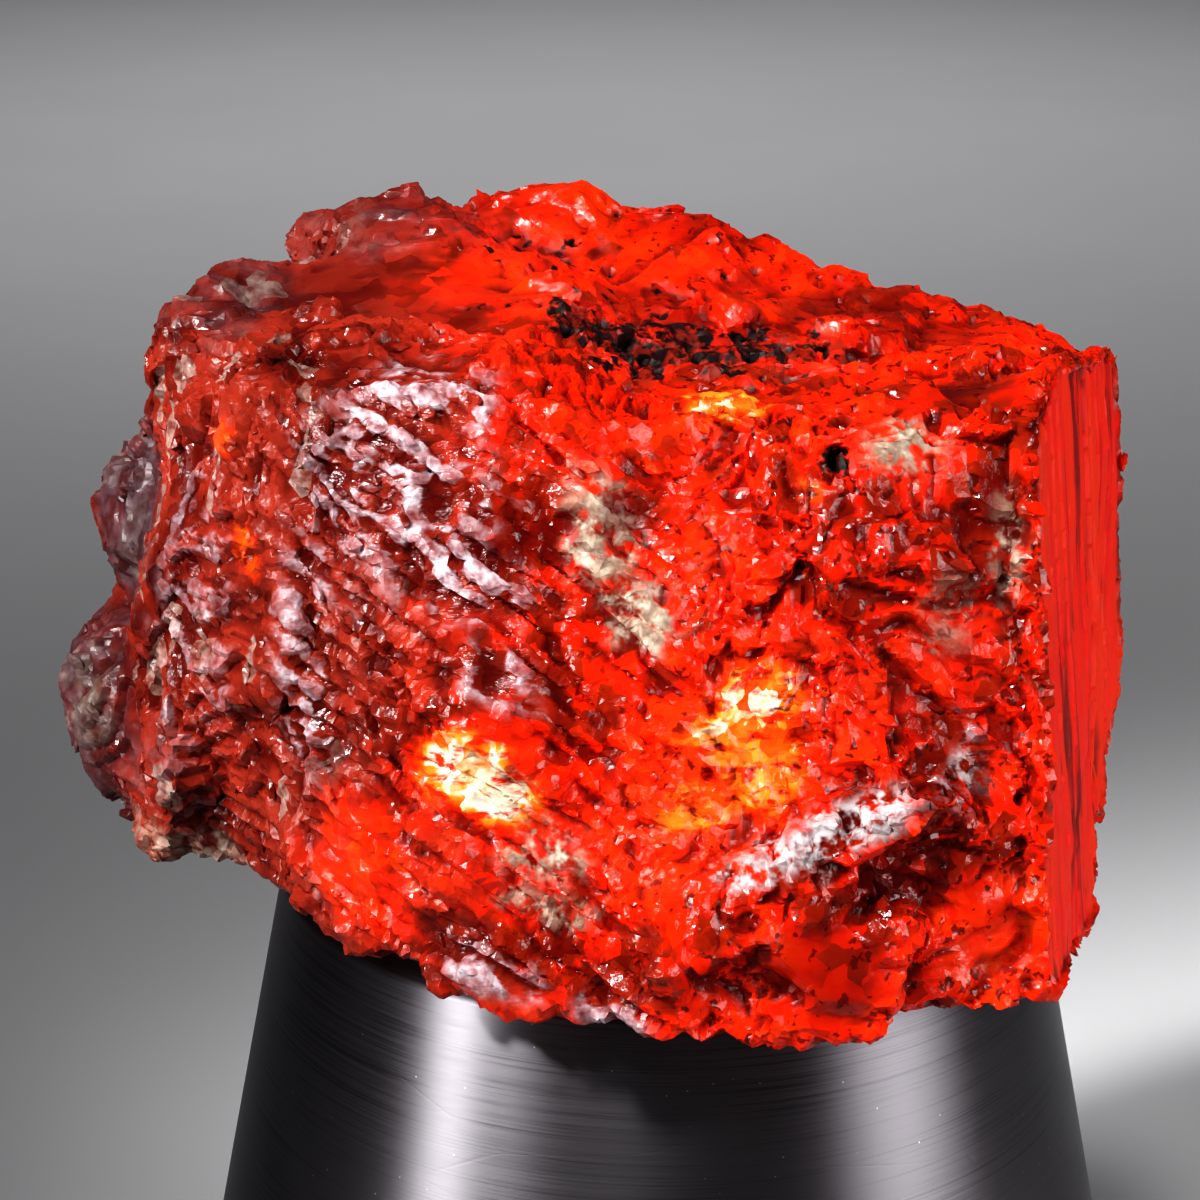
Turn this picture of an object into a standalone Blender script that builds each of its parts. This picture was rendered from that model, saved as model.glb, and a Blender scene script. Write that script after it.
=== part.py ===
"""A rough piece of red-orange sphalerite resting on a brushed metal stand.

Metres, +Z up. The origin is the centre of the stand's flat base, +Z is the stand's axis, and the
stone's broad broken front face looks towards -Y.
"""

import math

import bmesh
import bpy
from mathutils import Matrix, Vector, noise

MM = 0.001

# The stand: a turned solid cone, cut off flat, with a rounded shoulder
STAND_HEIGHT = 14.0 * MM
STAND_FLAT_RADIUS = 6.65 * MM
STAND_SHOULDER_RADIUS = 0.8 * MM
STAND_HALF_ANGLE = math.radians(11.0)
STAND_FOOT_CHAMFER = 0.3 * MM
STAND_SHOULDER_STEPS = 6
STAND_TURN_STEPS = 96

# How the stone sits
REST_GAP = 0.3 * MM
REST_Z = STAND_HEIGHT + REST_GAP
STAND_TOP = Vector((0.0, 0.0, STAND_HEIGHT))

# How fine the stone's surface is
SKIN_STEP = 0.26 * MM
FLAT_BAND = 0.18 * MM
STONE_TRIANGLES = 7400
LUMP_DIVISIONS = 3
SLAB_THICKNESS = 4.0 * MM
RESTING_SLAB_SIDE = 40.0 * MM

# The stone's cross-sections, as (x, ring), in millimetres. Each ring runs in the order of RING_ORDER,
# as (y, height over the stand's top).
RING_ORDER = (
    "bottom front",
    "low front",
    "mid front",
    "high front",
    "top front edge",
    "top near",
    "top far",
    "back ridge",
    "high back",
    "mid back",
    "bottom back",
    "underside",
)
SECTIONS = (
    (-9.8, ((-1.5, 1.5), (-2.1, 3.0), (-2.0, 5.0), (-1.3, 6.8), (-0.6, 8.2), (0.4, 8.9),
            (1.4, 8.8), (2.4, 7.9), (3.0, 6.2), (3.1, 4.2), (2.4, 2.1), (0.6, 1.3))),
    (-9.2, ((-2.2, 1.2), (-2.9, 3.0), (-2.8, 5.4), (-2.3, 7.8), (-1.7, 9.6), (-0.5, 10.6),
            (1.0, 11.0), (2.4, 10.9), (3.4, 9.0), (3.8, 5.8), (3.2, 2.4), (0.6, 1.0))),
    (-8.2, ((-3.1, 1.1), (-3.9, 3.0), (-4.1, 5.6), (-3.6, 8.2), (-2.8, 10.3), (-1.2, 11.1),
            (0.8, 11.6), (2.8, 11.7), (4.0, 9.4), (4.6, 5.8), (3.8, 2.2), (0.4, 0.6))),
    (-6.9, ((-4.8, 1.4), (-5.3, 3.2), (-5.3, 6.0), (-4.9, 8.8), (-4.2, 11.0), (-2.4, 11.4),
            (0.6, 11.7), (3.2, 11.8), (4.6, 9.4), (5.0, 5.6), (4.2, 1.8), (0.2, 0.1))),
    (-5.4, ((-6.5, 1.3), (-6.7, 3.2), (-6.4, 6.0), (-5.8, 9.0), (-5.0, 11.4), (-3.0, 11.7),
            (0.5, 11.8), (3.8, 11.9), (5.2, 9.6), (5.4, 5.6), (4.6, 1.6), (0.2, -0.2))),
    (-3.3, ((-7.8, 1.0), (-7.9, 3.2), (-7.3, 6.2), (-6.3, 9.2), (-5.4, 11.5), (-3.4, 11.5),
            (0.6, 11.4), (4.8, 12.4), (5.8, 9.6), (5.8, 5.6), (4.8, 1.4), (0.2, -0.3))),
    (-1.2, ((-8.5, 0.8), (-8.3, 3.2), (-7.5, 6.2), (-6.5, 8.8), (-5.7, 10.8), (-2.0, 10.8),
            (3.0, 11.4), (5.3, 12.5), (6.2, 9.6), (6.1, 5.4), (5.0, 1.2), (0.2, -0.3))),
    (1.0, ((-8.8, 0.7), (-8.5, 3.0), (-7.5, 6.0), (-6.4, 8.6), (-4.9, 10.9), (-1.6, 10.5),
           (2.6, 11.1), (5.1, 12.4), (6.2, 9.2), (6.1, 5.2), (5.0, 1.0), (0.2, -0.3))),
    (3.0, ((-8.8, 0.6), (-8.4, 2.8), (-7.4, 5.8), (-6.8, 8.4), (-5.9, 10.5), (-1.8, 10.5),
           (1.8, 10.5), (4.7, 11.3), (5.9, 8.8), (5.8, 5.0), (4.8, 0.9), (0.0, -0.3))),
    (4.9, ((-8.2, 0.8), (-8.0, 2.8), (-7.2, 5.8), (-6.7, 8.6), (-5.9, 10.9), (-3.0, 10.9),
           (0.8, 10.5), (4.0, 10.8), (5.3, 8.4), (5.3, 4.6), (4.2, 0.8), (-0.4, -0.3))),
    (6.7, ((-7.4, 0.8), (-7.2, 2.8), (-6.7, 5.6), (-6.2, 8.4), (-5.6, 11.2), (-3.2, 11.2),
           (0.2, 10.7), (3.4, 10.7), (4.7, 8.2), (4.7, 4.4), (3.4, 0.8), (-1.2, -0.2))),
    (7.8, ((-4.3, 0.0), (-4.0, 2.6), (-3.4, 5.4), (-2.8, 8.0), (-1.8, 10.6), (-0.8, 10.5),
           (1.2, 10.2), (3.3, 10.3), (4.3, 7.8), (4.3, 4.2), (2.8, 0.6), (-0.4, -0.1))),
    (8.7, ((-1.0, 0.0), (-0.4, 2.6), (0.1, 5.2), (0.8, 7.6), (1.3, 9.5), (2.0, 9.7),
           (2.7, 9.7), (3.4, 9.5), (3.9, 7.4), (3.9, 4.2), (2.8, 1.0), (1.0, 0.3))),
    (9.4, ((1.6, 1.4), (1.9, 3.0), (2.1, 5.0), (2.2, 6.8), (2.4, 8.5), (2.7, 8.9),
           (3.0, 8.9), (3.3, 8.6), (3.5, 6.8), (3.5, 4.8), (3.2, 2.4), (2.4, 1.3))),
)

# Lumps grown on the main block: centre, half sizes (millimetres) and turn about Y (degrees)
LUMPS = (
    ("lower left lobe", (-10.05, 0.2, 3.6), (1.5, 2.1, 2.15), 14.0),
    ("upper left lobe", (-9.65, 1.0, 6.7), (1.15, 1.7, 1.7), -15.0),
    ("back left bump", (-4.9, 4.0, 11.55), (2.5, 1.7, 1.0), 3.0),
    ("back right knob", (8.5, 3.1, 8.9), (0.7, 0.9, 0.85), 0.0),
    ("bright ledge", (2.9, -8.1, 4.0), (2.6, 0.75, 0.6), -22.0),
)

# Hollows broken into the block: centre, half sizes (millimetres) and turn about Y (degrees)
HOLLOWS = (
    ("long top cavity", (0.2, -1.9, 11.4), (2.4, 0.8, 0.95), 3.0),
    ("deep top pit", (-0.4, -1.2, 11.0), (0.8, 0.7, 0.9), 0.0),
    ("right top pit", (3.2, 0.2, 10.8), (0.9, 0.5, 0.5), 0.0),
    ("valley behind", (-2.0, 3.3, 12.3), (1.9, 0.8, 0.8), 4.0),
    ("dark hole", (2.85, -6.3, 10.0), (0.38, 0.8, 0.42), 0.0),
    ("oval facet", (4.9, -5.0, 13.5), (3.3, 2.6, 3.0), 4.0),
    ("shade under the ledge", (3.4, -8.7, 2.85), (2.2, 0.7, 0.35), -20.0),
    ("slanting crack", (0.7, -9.3, 1.9), (1.5, 0.6, 0.14), -22.0),
    ("notch between the lobes", (-11.4, 0.2, 5.35), (0.8, 2.2, 0.35), 18.0),
    ("hollow under the left end", (-9.2, -3.4, -0.2), (2.0, 2.0, 0.9), 8.0),
    ("back hollow", (1.5, 7.1, 7.2), (3.4, 1.6, 2.2), 20.0),
    ("low back hollow", (-4.5, 6.4, 3.0), (2.4, 1.2, 1.6), -25.0),
)

# Flat cleavage faces: a point on the face, its outward direction and how far it reaches (millimetres)
CLEAVAGES = (
    ("top left facet", (-4.6, 0.6, 11.45), (-0.10, -0.22, 0.97), (5.6, 3.8)),
    ("right face", (7.75, -1.9, 5.6), (0.961, -0.261, 0.087), (14.0, 16.0)),
    ("low right facet", (2.7, -8.85, 1.6), (0.05, -0.985, -0.16), (2.6, 2.4)),
    ("mid front facet", (2.4, -7.55, 6.3), (0.14, -0.96, 0.24), (2.6, 2.2)),
    ("left side facet", (-7.6, -4.45, 6.8), (-0.72, -0.69, 0.08), (2.2, 3.4)),
    ("back facet", (-2.5, 6.0, 7.0), (-0.22, 0.96, 0.16), (6.0, 5.0)),
    ("back right facet", (6.0, 4.6, 6.0), (0.42, 0.90, 0.10), (4.5, 6.0)),
    ("back left facet", (-7.2, 4.3, 6.0), (-0.52, 0.85, 0.05), (3.6, 5.0)),
)

# Broken surface of the stone. Each grain is a share of the stone's length (from, to, in millimetres along
# X), the direction its chips run in (degrees from +X, seen from the front) and how long they are drawn out.
SWELL = 0.18 * MM
SWELL_SIZE = 3.4 * MM
CHIP_DEPTH = 0.42 * MM
CHIP_SIZE = 2.3 * MM
CHIP_TILT = 0.32
SMALL_CHIP_DEPTH = 0.15 * MM
SMALL_CHIP_SIZE = 1.0 * MM
SMOOTH_SHARE = 0.10
GRAINS = (
    ("left side", -14.0, -6.6, 82.0, 2.2),
    ("crinkled front", -6.6, -0.8, -36.0, 2.4),
    ("right front", -0.8, 14.0, -10.0, 1.3),
)
GRAIN_BLEND = 1.2
MOST_HEIGHT = 0.42 * MM

# Where each chip's own step and lean are read from the noise
STEP_SPREAD = 7.3
STEP_SHIFT = Vector((0.37, 0.11, 0.73))
LEAN_SPREAD = 5.1
LEAN_SHIFT = Vector((3.1, 1.7, 4.3))
LEAN_MIDDLE = Vector((0.5, 0.5, 0.5))

STONE_COLOUR = (0.55, 0.030, 0.012, 1.0)
STONE_ROUGHNESS = 0.28
STONE_IOR = 2.37
METAL_COLOUR = (0.52, 0.52, 0.54, 1.0)
METAL_ROUGHNESS = 0.3


def clear_scene():
    """Remove every object that the scene starts with."""
    for obj in list(bpy.data.objects):
        bpy.data.objects.remove(obj, do_unlink=True)


def new_collection(name, hidden=False):
    """Make a collection in the scene, hidden in the render when it holds cutters."""
    collection = bpy.data.collections.new(name)
    bpy.context.scene.collection.children.link(collection)
    collection.hide_render = hidden
    return collection


def stone_material():
    """Glossy red-orange sphalerite."""
    material = bpy.data.materials.new("ruby_sphalerite")
    material.use_nodes = True
    shader = material.node_tree.nodes["Principled BSDF"]
    shader.inputs["Base Color"].default_value = STONE_COLOUR
    shader.inputs["Roughness"].default_value = STONE_ROUGHNESS
    shader.inputs["IOR"].default_value = STONE_IOR
    return material


def metal_material():
    """Finely brushed bright steel."""
    material = bpy.data.materials.new("brushed_metal")
    material.use_nodes = True
    shader = material.node_tree.nodes["Principled BSDF"]
    shader.inputs["Base Color"].default_value = METAL_COLOUR
    shader.inputs["Metallic"].default_value = 1.0
    shader.inputs["Roughness"].default_value = METAL_ROUGHNESS
    return material


def object_from(bm, name, collection):
    """Turn a bmesh into an object in the collection."""
    mesh = bpy.data.meshes.new(name)
    bm.to_mesh(mesh)
    bm.free()
    obj = bpy.data.objects.new(name, mesh)
    collection.objects.link(obj)
    return obj


def mark_cutter(obj):
    """Keep a guide or cutter out of the render."""
    obj.hide_render = True
    obj.display_type = "WIRE"


def stand_profile():
    """The stand's outline, as (radius, z), from the middle of the flat top down the side to the foot."""
    top = STAND_HEIGHT
    points = [(0.0, top)]
    for step in range(STAND_SHOULDER_STEPS + 1):
        turn = (math.pi / 2 - STAND_HALF_ANGLE) * step / STAND_SHOULDER_STEPS
        radius = STAND_FLAT_RADIUS + STAND_SHOULDER_RADIUS * math.sin(turn)
        z = top - STAND_SHOULDER_RADIUS * (1 - math.cos(turn))
        points.append((radius, z))
    side_radius, side_z = points[-1]
    chamfer_z = STAND_FOOT_CHAMFER
    foot_radius = side_radius + (side_z - chamfer_z) * math.tan(STAND_HALF_ANGLE)
    points.append((foot_radius, chamfer_z))
    points.append((foot_radius - STAND_FOOT_CHAMFER, 0.0))
    points.append((0.0, 0.0))
    return points


def build_stand(collection):
    """Turn the stand's outline about its axis."""
    bm = bmesh.new()
    verts = [bm.verts.new((radius, 0.0, z)) for radius, z in stand_profile()]
    for first, second in zip(verts, verts[1:]):
        bm.edges.new((first, second))
    stand = object_from(bm, "metal_stand", collection)
    screw = stand.modifiers.new("turned", "SCREW")
    screw.axis = "Z"
    screw.steps = STAND_TURN_STEPS
    screw.render_steps = STAND_TURN_STEPS
    screw.use_merge_vertices = True
    screw.merge_threshold = 0.00001
    screw.use_normal_calculate = True
    screw.use_smooth_shade = True
    stand.data.materials.append(metal_material())
    return stand


def stone_block(collection):
    """Loft the stone's main block through its cross-sections."""
    bm = bmesh.new()
    rings = []
    for x, ring in SECTIONS:
        points = [Vector((x, y, height)) * MM + STAND_TOP for y, height in ring]
        rings.append([bm.verts.new(point) for point in points])
    count = len(RING_ORDER)
    for near, far in zip(rings, rings[1:]):
        for i in range(count):
            j = (i + 1) % count
            bm.faces.new((near[i], near[j], far[j], far[i]))
    for ring in (rings[0], rings[-1]):
        middle = bm.verts.new(sum((vert.co for vert in ring), Vector()) / count)
        for i in range(count):
            bm.faces.new((ring[i], ring[(i + 1) % count], middle))
    bmesh.ops.recalc_face_normals(bm, faces=bm.faces)
    block = object_from(bm, "stone_block", collection)
    mark_cutter(block)
    return block


def ball(name, centre, half_sizes, turn, collection):
    """A stretched ball, used as a lump or as a hollow."""
    bm = bmesh.new()
    place = Matrix.Translation(Vector(centre) * MM + STAND_TOP)
    stretch = Matrix.Diagonal(Vector(half_sizes) * MM).to_4x4()
    matrix = place @ Matrix.Rotation(math.radians(turn), 4, "Y") @ stretch
    bmesh.ops.create_icosphere(bm, subdivisions=LUMP_DIVISIONS, radius=1.0, matrix=matrix)
    obj = object_from(bm, name.replace(" ", "_"), collection)
    mark_cutter(obj)
    return obj


def cleavage_slab(name, point, outward, reach, collection):
    """A thick slab whose lower side is a cleavage face: what it covers is broken away."""
    bm = bmesh.new()
    normal = Vector(outward).normalized()
    middle = Vector(point) * MM + STAND_TOP + normal * SLAB_THICKNESS / 2
    turn = normal.to_track_quat("Z", "Y").to_matrix().to_4x4()
    stretch = Matrix.Diagonal(Vector((reach[0] * MM, reach[1] * MM, SLAB_THICKNESS))).to_4x4()
    bmesh.ops.create_cube(bm, size=1.0, matrix=Matrix.Translation(middle) @ turn @ stretch)
    obj = object_from(bm, name.replace(" ", "_"), collection)
    mark_cutter(obj)
    return obj


def resting_slab(collection):
    """Everything under the stone's resting face."""
    bm = bmesh.new()
    place = Matrix.Translation((0.0, 0.0, REST_Z - SLAB_THICKNESS / 2))
    stretch = Matrix.Diagonal(Vector((RESTING_SLAB_SIDE, RESTING_SLAB_SIDE, SLAB_THICKNESS))).to_4x4()
    bmesh.ops.create_cube(bm, size=1.0, matrix=place @ stretch)
    obj = object_from(bm, "resting_slab", collection)
    mark_cutter(obj)
    return obj


def add_boolean(obj, other, operation):
    """Join a lump to the stone, or take a hollow from it."""
    modifier = obj.modifiers.new(other.name, "BOOLEAN")
    modifier.operation = operation
    modifier.solver = "EXACT"
    modifier.object = other


def evaluated_copy(obj):
    """A bmesh of the object with its modifiers worked out."""
    bpy.context.view_layer.update()
    graph = bpy.context.evaluated_depsgraph_get()
    bm = bmesh.new()
    bm.from_object(obj, graph)
    return bm


def chip_height(point, size, depth):
    """Height of a broken surface made of flat tilted chips, each one a cell of about the given size."""
    scaled = point / size
    centre = noise.voronoi(scaled)[1][0]
    step = noise.cell(centre * STEP_SPREAD + STEP_SHIFT)
    lean = noise.cell_vector(centre * LEAN_SPREAD + LEAN_SHIFT) - LEAN_MIDDLE
    return depth * (step - 0.5) + (scaled - centre).dot(lean) * CHIP_TILT * size


def grain_shares(x):
    """How much each grain counts at this place along the stone; neighbours blend over GRAIN_BLEND."""
    shares = []
    for _, start, end, _, _ in GRAINS:
        into = min(1.0, max(0.0, (x / MM - start) / GRAIN_BLEND + 0.5))
        out = min(1.0, max(0.0, (end - x / MM) / GRAIN_BLEND + 0.5))
        shares.append(into * out)
    return shares


def broken_height(point):
    """Height of the hackly surface: chips drawn out along the local grain, over broad swells."""
    height = SWELL * noise.noise(point / SWELL_SIZE)
    for (_, _, _, direction, stretch), share in zip(GRAINS, grain_shares(point.x)):
        if share <= 0.0:
            continue
        drawn = Matrix.Rotation(math.radians(direction), 3, "Y") @ point
        drawn.x /= stretch
        height += share * chip_height(drawn, CHIP_SIZE, CHIP_DEPTH)
        height += share * chip_height(drawn, SMALL_CHIP_SIZE, SMALL_CHIP_DEPTH)
    return max(-MOST_HEIGHT, min(MOST_HEIGHT, height))


def on_cleavage(point):
    """True where the point lies on one of the flat cleavage faces."""
    for _, centre, outward, reach in CLEAVAGES:
        normal = Vector(outward).normalized()
        offset = point - Vector(centre) * MM - STAND_TOP
        height = offset.dot(normal)
        if abs(height) < FLAT_BAND and (offset - normal * height).length < max(reach) * MM / 2:
            return True
    return False


def roughen(bm):
    """Break the smooth skin into swells, chips and ledges, and leave the cleavage faces nearly flat."""
    bm.normal_update()
    moves = []
    for vert in bm.verts:
        point = vert.co.copy()
        share = SMOOTH_SHARE if on_cleavage(point) else 1.0
        moves.append(point + vert.normal * broken_height(point) * share)
    for vert, place in zip(bm.verts, moves):
        vert.co = place


def build_stone(collection, cutters):
    """Join the block and its lumps, break off the hollows and cleavage faces, then roughen the skin."""
    block = stone_block(cutters)
    for name, centre, half_sizes, turn in LUMPS:
        add_boolean(block, ball(name, centre, half_sizes, turn, cutters), "UNION")
    for name, centre, half_sizes, turn in HOLLOWS:
        add_boolean(block, ball(name, centre, half_sizes, turn, cutters), "DIFFERENCE")
    for name, point, outward, reach in CLEAVAGES:
        add_boolean(block, cleavage_slab(name, point, outward, reach, cutters), "DIFFERENCE")
    skin = block.modifiers.new("even_skin", "REMESH")
    skin.mode = "VOXEL"
    skin.voxel_size = SKIN_STEP
    bm = evaluated_copy(block)
    roughen(bm)
    skin_triangles = sum(len(face.verts) - 2 for face in bm.faces)
    stone = object_from(bm, "sphalerite_stone", collection)
    thin = stone.modifiers.new("larger_facets", "DECIMATE")
    thin.ratio = STONE_TRIANGLES / skin_triangles
    add_boolean(stone, resting_slab(cutters), "DIFFERENCE")
    stone.data.materials.append(stone_material())
    return stone


def main():
    """Build the stone and its stand."""
    clear_scene()
    collection = new_collection("sphalerite_on_stand")
    cutters = new_collection("cutters", hidden=True)
    build_stand(collection)
    build_stone(collection, cutters)


main()
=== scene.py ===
"""The looks of a rough red-orange sphalerite on its turned, brushed metal stand.

The stone's skin is a fine copy of the CAD stone, broken into cleavage steps, slanting ridges, upright
steps and pits, with small chips of its own crystal on it. The stand is turned again with a finer outline
and a brushed finish.
"""

import logging
import math
from dataclasses import dataclass, replace
from enum import Enum

import bmesh
import bpy
import numpy as np
from mathutils import Matrix, Vector, noise

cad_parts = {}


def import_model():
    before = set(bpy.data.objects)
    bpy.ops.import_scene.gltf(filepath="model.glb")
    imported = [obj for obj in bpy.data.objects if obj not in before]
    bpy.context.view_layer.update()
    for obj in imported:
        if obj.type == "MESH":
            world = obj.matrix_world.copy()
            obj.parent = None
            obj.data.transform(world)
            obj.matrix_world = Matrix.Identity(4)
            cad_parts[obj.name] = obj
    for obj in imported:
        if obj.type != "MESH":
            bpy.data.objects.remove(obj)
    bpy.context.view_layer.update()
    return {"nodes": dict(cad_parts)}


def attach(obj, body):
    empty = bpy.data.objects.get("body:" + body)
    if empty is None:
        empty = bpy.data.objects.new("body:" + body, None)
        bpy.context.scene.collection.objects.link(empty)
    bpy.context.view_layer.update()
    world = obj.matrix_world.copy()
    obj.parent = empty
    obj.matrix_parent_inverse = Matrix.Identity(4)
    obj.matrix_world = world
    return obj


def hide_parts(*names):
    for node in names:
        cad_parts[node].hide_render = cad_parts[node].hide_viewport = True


log = logging.getLogger("sphalerite_on_stand")

Triple = tuple[float, float, float]
Stops = tuple[tuple[float, Triple], ...]
Socket = bpy.types.NodeSocket
Feed = Socket | float | Triple | str

MM = 0.001
STAND_TOP = 14.0

# Places of three cleavage planes in the list that Cleavage.planes gives
RIGHT_PLANE = 0
LOW_LEFT_PLANE = 6
LEFT_PLANE = 10

# The slant of the front's ridges, in degrees from +X as seen from the front
RIDGE_TURN = -36.0


class Look(Enum):
    """The looks that the stone's skin changes between, each kept as one share for each point of the mesh."""

    FROST_AND_HIGHLIGHT = "frost"
    PALE = "pale"
    GLOW = "glow"
    DARK = "dark"
    BLACK = "black"
    CRUST = "crust"
    PAINTED_GLINT = "silver"
    SMOOTH = "smooth"
    VIVID = "vivid"


class Trace(Enum):
    """What the shaping of the stone leaves on each point of its mesh."""

    TONE = "tone"
    PIT = "hollow_pit"
    RIGHT_FACE = "right_face"
    CREST = "crest"
    PAINTED_HOLLOW_SHADE = "hollow"
    CHIPS = "chips"


@dataclass(frozen=True)
class Patch:
    """One soft-edged patch of a look: centre, half sizes (mm, over the stand's top) and turn about Y."""

    look: Look
    centre: Triple
    half: Triple
    turn: float = 0.0
    strength: float = 1.0
    ragged: float = 0.55


@dataclass(frozen=True)
class Swell:
    """A soft push of the stone's skin: centre (mm, over the stand's top), reach and move (mm)."""

    centre: Triple
    reach: float
    move: Triple

    def push(self, points: np.ndarray) -> None:
        """Move the points near the centre, in place."""
        away = np.linalg.norm(points - np.array(self.centre), axis=1) / self.reach
        points += np.exp(-2.0 * away * away)[:, None] * np.array(self.move)


SWELLS = (
    Swell((-7.4, 3.4, 12.2), 1.6, (0.55, 0.0, -0.65)),
    Swell((-5.0, 3.4, 13.0), 1.6, (0.0, 0.0, 0.15)),
    Swell((-8.6, 0.6, 11.4), 1.8, (-0.25, 0.0, 0.15)),
    Swell((-11.2, -1.0, 4.4), 1.8, (-0.45, 0.0, 0.1)),
    Swell((-9.9, -0.6, 8.3), 1.2, (0.35, 0.0, 0.1)),
    Swell((-9.6, -1.8, 0.6), 1.8, (0.1, 0.0, 0.35)),
    Swell((8.9, 1.0, 1.6), 3.0, (-0.5, 0.0, 0.1)),
    Swell((9.2, 1.5, 5.0), 2.4, (-0.25, 0.0, 0.0)),
)

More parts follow.
